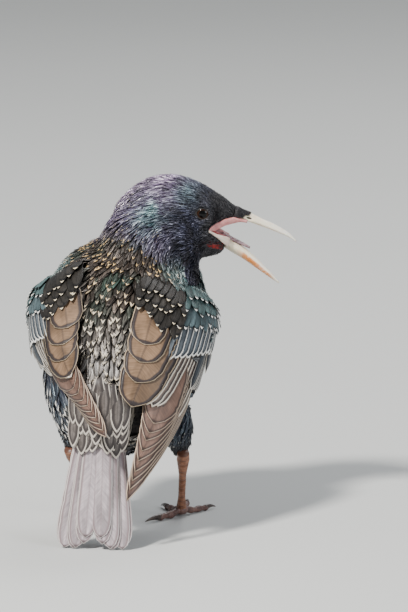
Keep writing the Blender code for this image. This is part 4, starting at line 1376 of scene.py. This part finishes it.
# Each kind of large feather: tint, edge and dark colours, the pale edge's width at its sides and at its tip,
# and the dark band's width, in millimetres.
FEATHER_LOOKS = {
    "primary": ((0.160, 0.094, 0.071), (0.62, 0.47, 0.36), (0.052, 0.034, 0.030), 0.34, 0.42, 0.8),
    "secondary": ((0.220, 0.162, 0.132), (0.90, 0.82, 0.70), (0.045, 0.036, 0.036), 0.50, 0.80, 0.8),
    "tertial": ((0.195, 0.122, 0.074), (0.68, 0.53, 0.37), (0.024, 0.020, 0.023), 0.34, 0.45, 1.5),
    "greater_covert": ((0.115, 0.135, 0.155), (0.94, 0.92, 0.88), (0.024, 0.028, 0.036), 0.42, 0.80, 0.8),
    "median_covert": ((0.066, 0.098, 0.108), (0.94, 0.92, 0.88), (0.012, 0.018, 0.022), 0.10, 1.30, 0.7),
    "lesser_covert": ((0.072, 0.118, 0.120), (0.94, 0.92, 0.88), (0.012, 0.020, 0.022), 0.10, 1.10, 0.6),
    "primary_covert": ((0.050, 0.060, 0.072), (0.62, 0.57, 0.51), (0.016, 0.018, 0.023), 0.30, 0.55, 0.7),
    "alula": ((0.040, 0.046, 0.056), (0.60, 0.55, 0.48), (0.016, 0.016, 0.020), 0.30, 0.55, 0.7),
    "scapular": ((0.026, 0.023, 0.020), (0.88, 0.76, 0.56), (0.008, 0.007, 0.007), 0.05, 1.10, 1.2),
    "rectrix": ((0.400, 0.345, 0.365), (0.84, 0.77, 0.75), (0.250, 0.190, 0.200), 0.34, 0.40, 0.8),
    "tail_covert": ((0.150, 0.130, 0.120), (0.62, 0.56, 0.49), (0.045, 0.038, 0.037), 0.50, 1.10, 1.2),
}
# The kinds of feathers that are pale at the tip and hardly at the sides.
TIPPED = ("scapular", "median_covert", "lesser_covert")


def big_feathers(name, feathers):
    """One object from feathers given as (kind, path, normals, width), with its points and quads."""
    all_points, all_quads, all_fans, values = [], [], [], []
    start = 0
    for kind, path, normals, width in feathers:
        profile = outline_profile(OUTLINES.get(kind, POINTED_OUTLINE))
        notches = 1 - 0.05 * (random.random(len(profile)) > 0.93) * (np.arange(len(profile)) > 8)
        profile = profile * notches * (1 + 0.005 * random.normal(size=len(profile)))
        half = np.array([width / 2])
        points, quads, fans, across, along, _ = vane_mesh(
            path[None], normals[None], half, profile, BIG_OFFSETS, BIG_THICKNESS, BIG_RIDGE, BIG_CAMBER
        )
        tint, edge, dark, side_edge, tip_edge, band = FEATHER_LOOKS[kind]
        length = np.linalg.norm(np.diff(path, axis=0), axis=1).sum()
        half = np.interp(along, BIG_MARKS, np.append(profile, 0.0)) * width / 2
        from_tip = (1 - along) * length * 0.85
        if kind in TIPPED:
            margin = from_tip - np.abs(across) * half * 0.55 + 0.5 * (random.random() < 0.15)
            fringe = np.full(len(points), side_edge + 0.5 * tip_edge * random.uniform(0.8, 1.2))
            spread = 0.35
        else:
            margin = np.minimum((1 - np.abs(across)) * half, from_tip)
            fringe = side_edge + (tip_edge - side_edge) * along**6
            spread = 0.14
        # Each feather's tone varies at random, and it is darker towards its root: partly its own darker base
        # and partly painted shade under the feathers that overlap it.
        tone = random.uniform(1 - spread, 1 + spread) * (0.72 + 0.36 * along)[:, None]
        each = np.ones((len(points), 1))
        values.append(
            (
                np.array(tint) * tone,
                np.array(edge) * each * random.uniform(0.9, 1.05),
                np.array(dark) * each,
                np.stack([across, along, margin], axis=1),
                np.stack([fringe, each[:, 0] * band, each[:, 0] * random.random()], axis=1),
            )
        )
        all_points.append(points)
        all_quads.append(quads + start)
        all_fans.append(fans + start)
        start += len(points)
    points, quads = np.concatenate(all_points), np.concatenate(all_quads)
    item = fast_mesh(name, points, quads, np.concatenate(all_fans))
    set_looks(item, *(np.concatenate(column) for column in zip(*values)))
    map_big_feathers(item, [value[3] for value in values])
    return covered_with(item, flight_material()), points, quads


def wing_feathers(side):
    """The large feathers and coverts of one wing, laid over its face."""
    found = []
    for (kind, *heights), (count, widths, roots, tips) in zip(ROW_HEIGHTS, ROW_PLACES[side]):
        stray = 0.011 if kind in TIPPED else 0.003
        roll = TERTIAL_SHINGLE if kind == "tertial" else SHINGLE
        for i in range(count):
            share = i / (count - 1)
            root, tip = lerp_pair(roots, share), lerp_pair(tips, share) + random.normal(0, stray, 2)
            sweep = lerp_pair((WING_SWEEP, OUTER_SWEEP), share) if kind == "primary" else WING_SWEEP
            along = root[0] + (tip[0] - root[0]) * BIG_MARKS
            across = root[1] + (tip[1] - root[1]) * BIG_MARKS**sweep
            face, normals = wing_face(side, along, across)
            low, high = (lerp_pair(pair, share) for pair in heights)
            lift = low + (high - low) * BIG_MARKS
            outer = unit(wing_face(side, along, across + 0.04)[0] - face)
            tilted = unit(normals - outer * roll)
            found.append((kind, face + normals * lift[:, None], tilted, float(lerp_pair(widths, share))))
    return found


def tail_feathers():
    """Twelve tail feathers with the middle pair on top, and the coverts over and under their roots."""
    along = unit(TAIL_TIP - TAIL_BASE)
    out = unit(np.cross(ACROSS, along))
    out = out if out[1] < 0 else -out
    length = np.linalg.norm(TAIL_TIP - TAIL_BASE) + 0.4
    marks = BIG_MARKS[:, None]
    found = []
    for i in reversed(range(6)):
        share, spread = i / 5, TAIL_STEPS[i]
        for side in (-1, 1):
            lift = lerp_pair(TAIL_LIFT, share) + 0.12 * side
            out_way = ACROSS * side
            root = TAIL_BASE + out_way * lerp_pair(TAIL_ROOT_SPREAD, spread) + along * 6.0
            tip = TAIL_BASE + out_way * lerp_pair(TAIL_TIP_SPREAD, spread) + along * (length - TAIL_NOTCH[i])
            path = root + (tip - root) * marks + out * lift
            path[:, 2] = np.maximum(path[:, 2], 0.25)
            normals = np.tile(unit(out - out_way * 0.08), (BIG_STATIONS, 1))
            found.append(("rectrix", path, normals, float(lerp_pair(TAIL_FEATHER_WIDTH, share))))
    for face, rows in ((1, 4), (-1, 3)):
        for row in range(rows):
            way = -7.0 + row * 4.5 + marks * (17.0 - row)
            for x in np.linspace(-1, 1, 9 - row % 2):
                rise = np.interp(way[:, 0], [-9, 20], [8.9, 1.9]) + 0.9 - 0.22 * row + 0.5 * BIG_MARKS
                rise = rise * (1 - 0.42 * x * x) - 2.6 * (1 - BIG_MARKS) ** 6
                wide = x * (10.4 - 0.02 * way)
                path = TAIL_BASE + ACROSS * wide + along * way + out * face * rise[:, None]
                normals = np.tile(unit(out * face + ACROSS * x * 0.5), (BIG_STATIONS, 1))
                path += ACROSS * random.normal(0, 0.5) * marks + along * random.normal(0, 1.3)
                found.append(("tail_covert", path, normals, 6.0))
    return found


# The bill, mouth and eyes


def bill_rings(sections, count, corners, upper):
    """Rings of a bill half: ridged on its outer side, and a little hollow where the two halves meet."""
    rings = []
    turn = np.arange(corners) * 2 * math.pi / corners
    outer = np.sin(turn) * (1 if upper else -1)
    for station, top, bottom, half_width in smooth_rows(sections, count):
        x = np.cos(turn) * half_width * (1 - 0.16 * limit(outer))
        y = np.sin(turn) * ((top - bottom) / 2) * (1 - 0.35 * limit(-outer) * (1 - np.abs(np.cos(turn))))
        middle = head_point(station, 0, (top + bottom) / 2)
        rings.append(middle + x[:, None] * HEAD_LEFT + y[:, None] * HEAD_UP)
    return rings


def make_bill(name, sections, upper, material):
    """One half of the bill, with the pits of the nostrils in the upper one."""
    count, corners = 44, 40
    item = loft(name, bill_rings(sections, count, corners, upper))
    turn = np.tile(np.arange(corners) * 2 * math.pi / corners, count)
    set_values(item, "along", "FLOAT", np.repeat(np.linspace(0, 1, count), corners))
    set_values(item, "low", "FLOAT", limit(0.4 - np.sin(turn)) * (0.15 if upper else 1))
    if upper:
        points = read_points(item.data)
        station, left, height = in_head(points).T
        away = np.sqrt(((station - NOSTRIL_PLACE[0]) / 2.2) ** 2 + ((height - NOSTRIL_PLACE[1]) / 0.9) ** 2)
        pit = np.exp(-(away**2) * 1.6) * 0.9
        write_points(item.data, points - (np.sign(left) * pit)[:, None] * HEAD_LEFT)
    return covered_with(item, material)


def make_nostrils():
    """The dark slots of the nostrils, one on each side, sunk in their pits."""
    ahead, height, left = NOSTRIL_PLACE
    items = []
    for way, name in ((1, "left"), (-1, "right")):
        rings = []
        for t in np.linspace(-1, 1, 15):
            place = head_point(ahead + t * 1.5, way * (left - 0.55 - 0.12 * t), height - 0.12 * t)
            size = 0.42 * math.sqrt(max(1 - t * t, 0.0)) + 0.02
            rings.append(oval(place, HEAD_LEFT, HEAD_UP, size * 0.9, size, 14))
        item = loft("nostril_" + name, rings)
        dark = mottled("nostril", 900.0, 2.0, (0.03, 0.02, 0.018), (0.07, 0.05, 0.04), Roughness=0.5)
        items.append(covered_with(item, dark))
    return items


def make_mouth():
    """The lining of the gape as two curved sheets, and the fleshy lips that join them at the corner."""
    items = []
    stations, places = 16, 15
    corner = MOUTH_CORNER
    for name, end, rise in (("palate", MOUTH_TOP, 1), ("mouth_floor", MOUTH_BOTTOM, -1)):
        outer, inner = [], []
        for t in np.linspace(0, 1, stations):
            station = corner[0] - 1.0 + (end[0] + 1.9 - corner[0]) * t
            share = np.clip((station - corner[0]) / (end[0] - corner[0]), -0.2, 1.1)
            height = corner[1] + (end[1] - corner[1]) * share + rise * 0.05
            half = np.interp(station, [15.2, 22.6, 26.3, 28.0], [8.6, 5.2, 3.9, 3.4])
            for x in np.linspace(-1, 1, places):
                dome = rise * (0.9 * (1 - x * x) * (0.3 + 0.7 * t)) + 0.08 * math.sin(x * 9) * (1 - x * x)
                outer.append(head_point(station, x * half, height + dome - rise * 0.25))
                inner.append(head_point(station, x * half * 0.98, height + dome + rise * 0.55))
        item = sheet(name, np.array(outer + inner), stations, places)
        items.append(covered_with(item, flesh(name, (0.30, 0.040, 0.045), (0.56, 0.18, 0.18))))
    upper_low = ([14.8, 17.0, 21.0, 26.6, 31.0], [-3.6, -3.5, -0.6, 1.7, 1.9])
    lower_top = ([14.8, 18.3, 22.6, 26.0], [-3.4, -4.7, -5.2, -6.5])
    pink = ("lip_flesh", (0.50, 0.17, 0.17), (0.66, 0.31, 0.29))
    pale = ("ramus_flesh", (0.60, 0.46, 0.40), (0.78, 0.68, 0.58))
    lips = (
        ("upper_lip_", 29.5, UPPER_LIP, upper_low, 0.9, pink),
        ("lower_lip_", 24.0, lower_top, LOWER_LIP, 0.5, pale),
    )
    for side, way in (("left", 1), ("right", -1)):
        for name, last, top, low, bulge, look in lips:
            item = loft(name + side, lip(way, last, top, low, bulge))
            items.append(covered_with(item, flesh(*look)))
    return items


def lip(way, last, top_edge, low_edge, bulge):
    """Rings of a fleshy strip on the head's side, between two edges given as heights by station."""
    out_way = HEAD_LEFT * way
    rings = []
    for station in np.linspace(14.8, last, 34):
        top, low = np.interp(station, *top_edge), np.interp(station, *low_edge)
        out = np.interp(station, [14.8, 16.5, 21.5, 24.0, 26.3, 30.0], [10.2, 9.2, 6.9, 5.5, 4.55, 3.85])
        middle = head_point(station, way * (out - 0.75), (top + low) / 2)
        ring = oval(middle, out_way, HEAD_UP, 0.85 + 0.15 * bulge, (top - low) / 2 + 0.1, 20, 2.6)
        fold = 0.10 * np.sin(in_head(ring)[:, 2] * 5.0 + station)
        rings.append(ring + fold[:, None] * out_way)
    return rings


def sheet(name, points, stations, places):
    """A thin closed sheet from its outer and its inner grid of points."""
    under = stations * places
    faces = []
    for i in range(stations - 1):
        for j in range(places - 1):
            a, b, c, d = i * places + j, i * places + j + 1, (i + 1) * places + j + 1, (i + 1) * places + j
            faces.append((a, b, c, d))
            faces.append((under + a, under + d, under + c, under + b))
    ring = list(range(places))
    ring += [i * places + places - 1 for i in range(1, stations)]
    ring += [(stations - 1) * places + j for j in range(places - 2, -1, -1)]
    ring += [i * places for i in range(stations - 2, 0, -1)]
    for a, b in zip(ring, ring[1:] + ring[:1]):
        faces.append((a, b, under + b, under + a))
    return outward(mesh_object(name, points, faces))


def make_tongue():
    rings = []
    for t in np.linspace(0, 1, 22):
        station, height = lerp_pair((TONGUE_START, TONGUE_END), t)
        half, tall = 2.2 * (1 - 0.75 * t**2), 1.1 - 0.5 * t
        ring = oval(head_point(station, 0, height), HEAD_LEFT, HEAD_UP, half, tall, 24)
        place = in_head(ring)
        groove = 0.25 * np.exp(-((place[:, 1] / 0.5) ** 2)) * (place[:, 2] > height)
        rings.append(ring - groove[:, None] * HEAD_UP)
    look = flesh("tongue_flesh", (0.16, 0.10, 0.13), (0.42, 0.28, 0.30))
    return covered_with(loft("tongue_form", rings), look)


def make_eye(name, place, look, material):
    """An eye is a ball with a slightly raised clear front."""
    rings, out, turns = [], [], []
    count, corners = 26, 48
    for i in range(count):
        angle = math.pi * i / (count - 1)
        ahead = math.cos(angle) > 0
        radius = EYE_RADIUS * math.sin(angle) + 0.002
        far = EYE_RADIUS * math.cos(angle) + 0.28 * math.exp(-((math.sin(angle) / 0.45) ** 2)) * ahead
        rings.append(oval(place + look * far, HEAD_AHEAD, HEAD_UP, radius, radius, corners))
        out += [math.sin(angle) if ahead else 1.0] * corners
        turns += list(np.arange(corners) / corners)
    item = loft(name, rings)
    set_values(item, "out", "FLOAT", out)
    set_values(item, "turn", "FLOAT", turns)
    return covered_with(item, material)


def make_lid(name, place, look, material):
    """A narrow beaded rim of bare skin round an eye."""
    corners, around = 96, 10
    points = []
    for turn in 2 * math.pi * np.arange(corners) / corners:
        radial = math.cos(turn) * HEAD_AHEAD + math.sin(turn) * HEAD_UP * 0.9
        radius = LID_RADIUS * (1 + 0.10 * math.cos(turn) ** 8)
        reach = math.sqrt(max(EYE_RADIUS**2 - (radius * 0.93) ** 2, 0.1)) + 0.12
        centre = place + radial * radius + look * reach
        thick = (0.36 + 0.10 * math.sin(turn)) * (1 + 0.10 * math.sin(turn * 24))
        for angle in 2 * math.pi * np.arange(around) / around:
            points.append(centre + radial * math.cos(angle) * thick + look * math.sin(angle) * thick * 0.8)
    item = outward(mesh_object(name, np.array(points), ring_faces(corners, around, closed=True)))
    return covered_with(item, material)


def both_eyes(make, name, material):
    items = []
    for way, side in ((1, "left"), (-1, "right")):
        place = head_point(EYE_PLACE[0], way * EYE_PLACE[1], EYE_PLACE[2])
        items.append(make(name + side, place, HEAD_LEFT * way, material))
    return items


# The legs


def on_floor(rings, height):
    """Rings made flat where they would pass below this height."""
    for ring in rings:
        ring[:, 2] = np.maximum(ring[:, 2], height)
    return rings


def scaled_tube(name, path, radii, corners, scales, toe):
    """A round limb with rings of scales along it, flat where it lies on the floor."""
    phase = np.linspace(0, 1, len(path)) * scales * math.pi
    bumps = 1 + 0.06 * (1 - np.exp(-(np.abs(np.sin(phase)) / 0.3) ** 2))
    item = loft(name, on_floor(tube_rings(path, np.array(radii) * bumps, corners), SOLE))
    set_values(item, "ring", "FLOAT", np.repeat(phase, corners))
    set_values(item, "toe", "FLOAT", np.full(len(path) * corners, toe))
    return item


def make_shank(side, ankle, joint):
    way = unit(joint - ankle)
    start, end = ankle - way * 4.0, joint - way * 0.6
    marks = np.linspace(0, 1, 64)
    radii = np.interp(marks, [0, 0.12, 0.25, 0.4, 0.8, 0.93, 1], [2.3, 2.5, 2.0, 1.45, 1.4, 1.75, 2.0])
    return scaled_tube("tarsus_" + side, start + (end - start) * marks[:, None], radii, 28, 13, 0.0)


def make_toe(toe, foot, ahead, length, radius):
    """A toe from the foot's middle on the floor, with a pad under each of its joints."""
    marks = np.linspace(0, 1, 46)
    rise = 1.3 * (1 - marks) + 0.5 * np.sin(math.pi * 3 * marks) * (1 - marks) + radius * 0.8
    path = foot + ahead * length * (marks * 1.02)[:, None]
    path[:, 2] += rise
    pads = 2 if toe == "hind" else 3
    radii = radius * (1 - 0.22 * marks) * (1 + 0.13 * np.cos(math.pi * 2 * pads * marks))
    radii = radii * np.where(marks > 0.96, 0.8, 1.0)
    return scaled_tube("toe", path, radii, 22, 9, 1.0)


def make_claw(name, foot, ahead, length, radius, claw):
    marks = np.linspace(0, 1, 24)
    path = foot + ahead * (length - 1.0 + (GAP * 1.5 + 1.0 + claw * 0.93) * marks)[:, None]
    path[:, 2] += radius * 0.85 + 0.75 * np.sin(math.pi * 0.62 * marks + 0.2) - 1.15 * marks**2
    sizes = 0.78 * radius * (1 - marks) ** 0.8 + 0.06
    return loft(name, on_floor(tube_rings(path, sizes, 18, 1.15), CLAW_SOLE))


def make_ball(joint):
    """The ball where the toes meet."""
    count, corners = 14, 26
    rings = []
    for angle in np.linspace(0.05, math.pi - 0.05, count):
        middle = joint + np.array([0, 0, -0.6 + 2.1 * math.cos(angle)])
        radius = 2.7 * math.sin(angle)
        rings.append(oval(middle, ACROSS, np.array([0, 1.0, 0]), radius, radius, corners))
    item = loft("ball", on_floor(rings, SOLE))
    set_values(item, "ring", "FLOAT", np.full(count * corners, 1.57))
    set_values(item, "toe", "FLOAT", np.full(count * corners, 1.0))
    return item


def make_legs(material, horn):
    """Shanks, feet and claws, each with the node that it takes the place of."""
    items = []
    for side, (ankle, joint) in LEGS.items():
        items.append((covered_with(make_shank(side, ankle, joint), material), "shank_" + side))
        toes = []
        foot = joint * [1, 1, 0]
        for toe, heading, length, radius, claw in TOES:
            turn = math.radians(heading)
            ahead = np.array([math.sin(turn) * (1 if side == "right" else -1), math.cos(turn), 0.0])
            toes.append(make_toe(toe, foot, ahead, length, radius))
            nail = make_claw(f"nail_{toe}_{side}", foot, ahead, length, radius, claw)
            items.append((covered_with(nail, horn), f"claw_{toe}_{side}"))
        whole = joined("toes_" + side, toes + [make_ball(joint)])
        items.append((covered_with(whole, material), "foot_" + side))
    return items


# The stage


def make_stage():
    """A plain floor, a pale surrounding and three soft lamps."""
    mesh = bpy.data.meshes.new("floor")
    far = 6.0
    mesh.from_pydata([(-far, -far, 0), (far, -far, 0), (far, far, 0), (-far, far, 0)], [], [(0, 1, 2, 3)])
    pale = mottled("floor_pale", 3.0, 2.0, (0.60, 0.61, 0.60), (0.64, 0.65, 0.64), Roughness=0.85)
    floor = covered_with(linked("floor", mesh), pale)
    world = bpy.data.worlds.new("studio")
    bpy.context.scene.world = world
    world.use_nodes = True
    colour, strength = world.node_tree.nodes["Background"].inputs[:2]
    colour.default_value = (0.80, 0.84, 0.88, 1.0)
    strength.default_value = 0.36
    for name, place, size, power, colour in (
        ("key", (-0.60, -0.95, 1.35), 0.20, 50.0, (1.0, 0.97, 0.92)),
        ("fill", (1.3, -0.7, 0.7), 0.7, 10.0, (0.93, 0.96, 1.0)),
        ("rim", (0.2, 1.0, 1.1), 0.7, 9.0, (1.0, 1.0, 1.0)),
    ):
        light = bpy.data.lights.new(name, "AREA")
        light.size = size
        light.energy = power
        light.color = colour
        lamp = linked(name, light)
        lamp.location = place
        lamp.rotation_euler = (Vector((0, 0, 0.08)) - Vector(place)).to_track_quat("-Z", "Y").to_euler()


def make_camera():
    """A long lens at the photo's angle, aimed so that the bird lies in the picture as in the photo."""
    a, e = VIEW_AZIMUTH, VIEW_RISE
    right = np.array([math.cos(a), math.sin(a), 0.0])
    back = np.array([math.sin(a) * math.cos(e), -math.cos(a) * math.cos(e), math.sin(e)])
    up = np.cross(back, right)
    aside = (PHOTO_MIDDLE[0] - FLOOR_PIXEL[0]) * PIXEL
    above = (FLOOR_PIXEL[1] - PHOTO_MIDDLE[1]) * PIXEL - FLOOR_DROP
    target = right * aside + up * above
    camera = bpy.data.cameras.new("camera")
    camera.sensor_fit = "VERTICAL"
    camera.sensor_height = SENSOR
    camera.lens = SENSOR * VIEW_DISTANCE / (PHOTO_HEIGHT * PIXEL)
    camera.clip_end = 30.0
    item = linked("camera", camera)
    item.location = to_frame(target + back * VIEW_DISTANCE)
    aim = Vector(to_frame(target)) - item.location
    item.rotation_euler = aim.to_track_quat("-Z", "Y").to_euler()
    bpy.context.scene.camera = item


def main():
    make_camera()
    make_stage()
    feathers = {}
    tree_points, tree_faces, start = [], [], 0
    plans = {
        "wing_right": wing_feathers("right"),
        "wing_left": wing_feathers("left"),
        "tail": tail_feathers(),
    }
    for name, plan in plans.items():
        feathers[name], points, quads = big_feathers(name + "_feathers", plan)
        tree_points += [Vector(p) for p in points]
        tree_faces += (quads + start).tolist()
        start += len(points)
    big_tree = BVHTree.FromPolygons(tree_points, tree_faces)
    skin, points, normals = make_skin()
    coat = make_coat(skin, points, normals, big_tree)
    horn = bill_material()
    pieces = [(skin, ["head", "neck", "torso", "thigh_left", "thigh_right"], "plumage")]
    pieces += [(item, [], "plumage") for item in coat]
    for name, item in feathers.items():
        pieces.append((item, [name], "tail_feathers" if name == "tail" else "flight_feathers"))
    pieces.append((make_bill("bill_top", BILL_TOP_SECTIONS, True, horn), ["bill_upper"], "bill"))
    pieces.append((make_bill("bill_bottom", BILL_BOTTOM_SECTIONS, False, horn), ["bill_lower"], "bill"))
    pieces += [(item, [], "bill") for item in make_nostrils()]
    pieces += [(item, [], "mouth") for item in make_mouth()]
    pieces.append((make_tongue(), ["tongue"], "mouth"))
    for item, name in zip(both_eyes(make_eye, "eyeball_", eye_material()), ("eye_left", "eye_right")):
        pieces.append((item, [name], "eye"))
    look = dict(reach=(0.4, 0.65), bump=(0.6, 0.00025), Roughness=0.6)
    rim = mottled("eyelid", 1400.0, 4.0, (0.008, 0.007, 0.008), (0.030, 0.026, 0.026), **look)
    look = dict(reach=(0.35, 0.65), bump=(0.15, 0.0002), Roughness=0.3)
    claw = mottled("claw_horn", 800.0, 3.0, (0.025, 0.017, 0.015), (0.09, 0.06, 0.05), **look)
    pieces += [(item, [], "plumage") for item in both_eyes(make_lid, "eyelid_", rim)]
    for item, node in make_legs(leg_material(), claw):
        pieces.append((item, [node], "claw" if node.startswith("claw") else "leg"))
    for item, nodes, slot in pieces:
        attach(item, "root")
        if nodes:
            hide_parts(*nodes)


main()
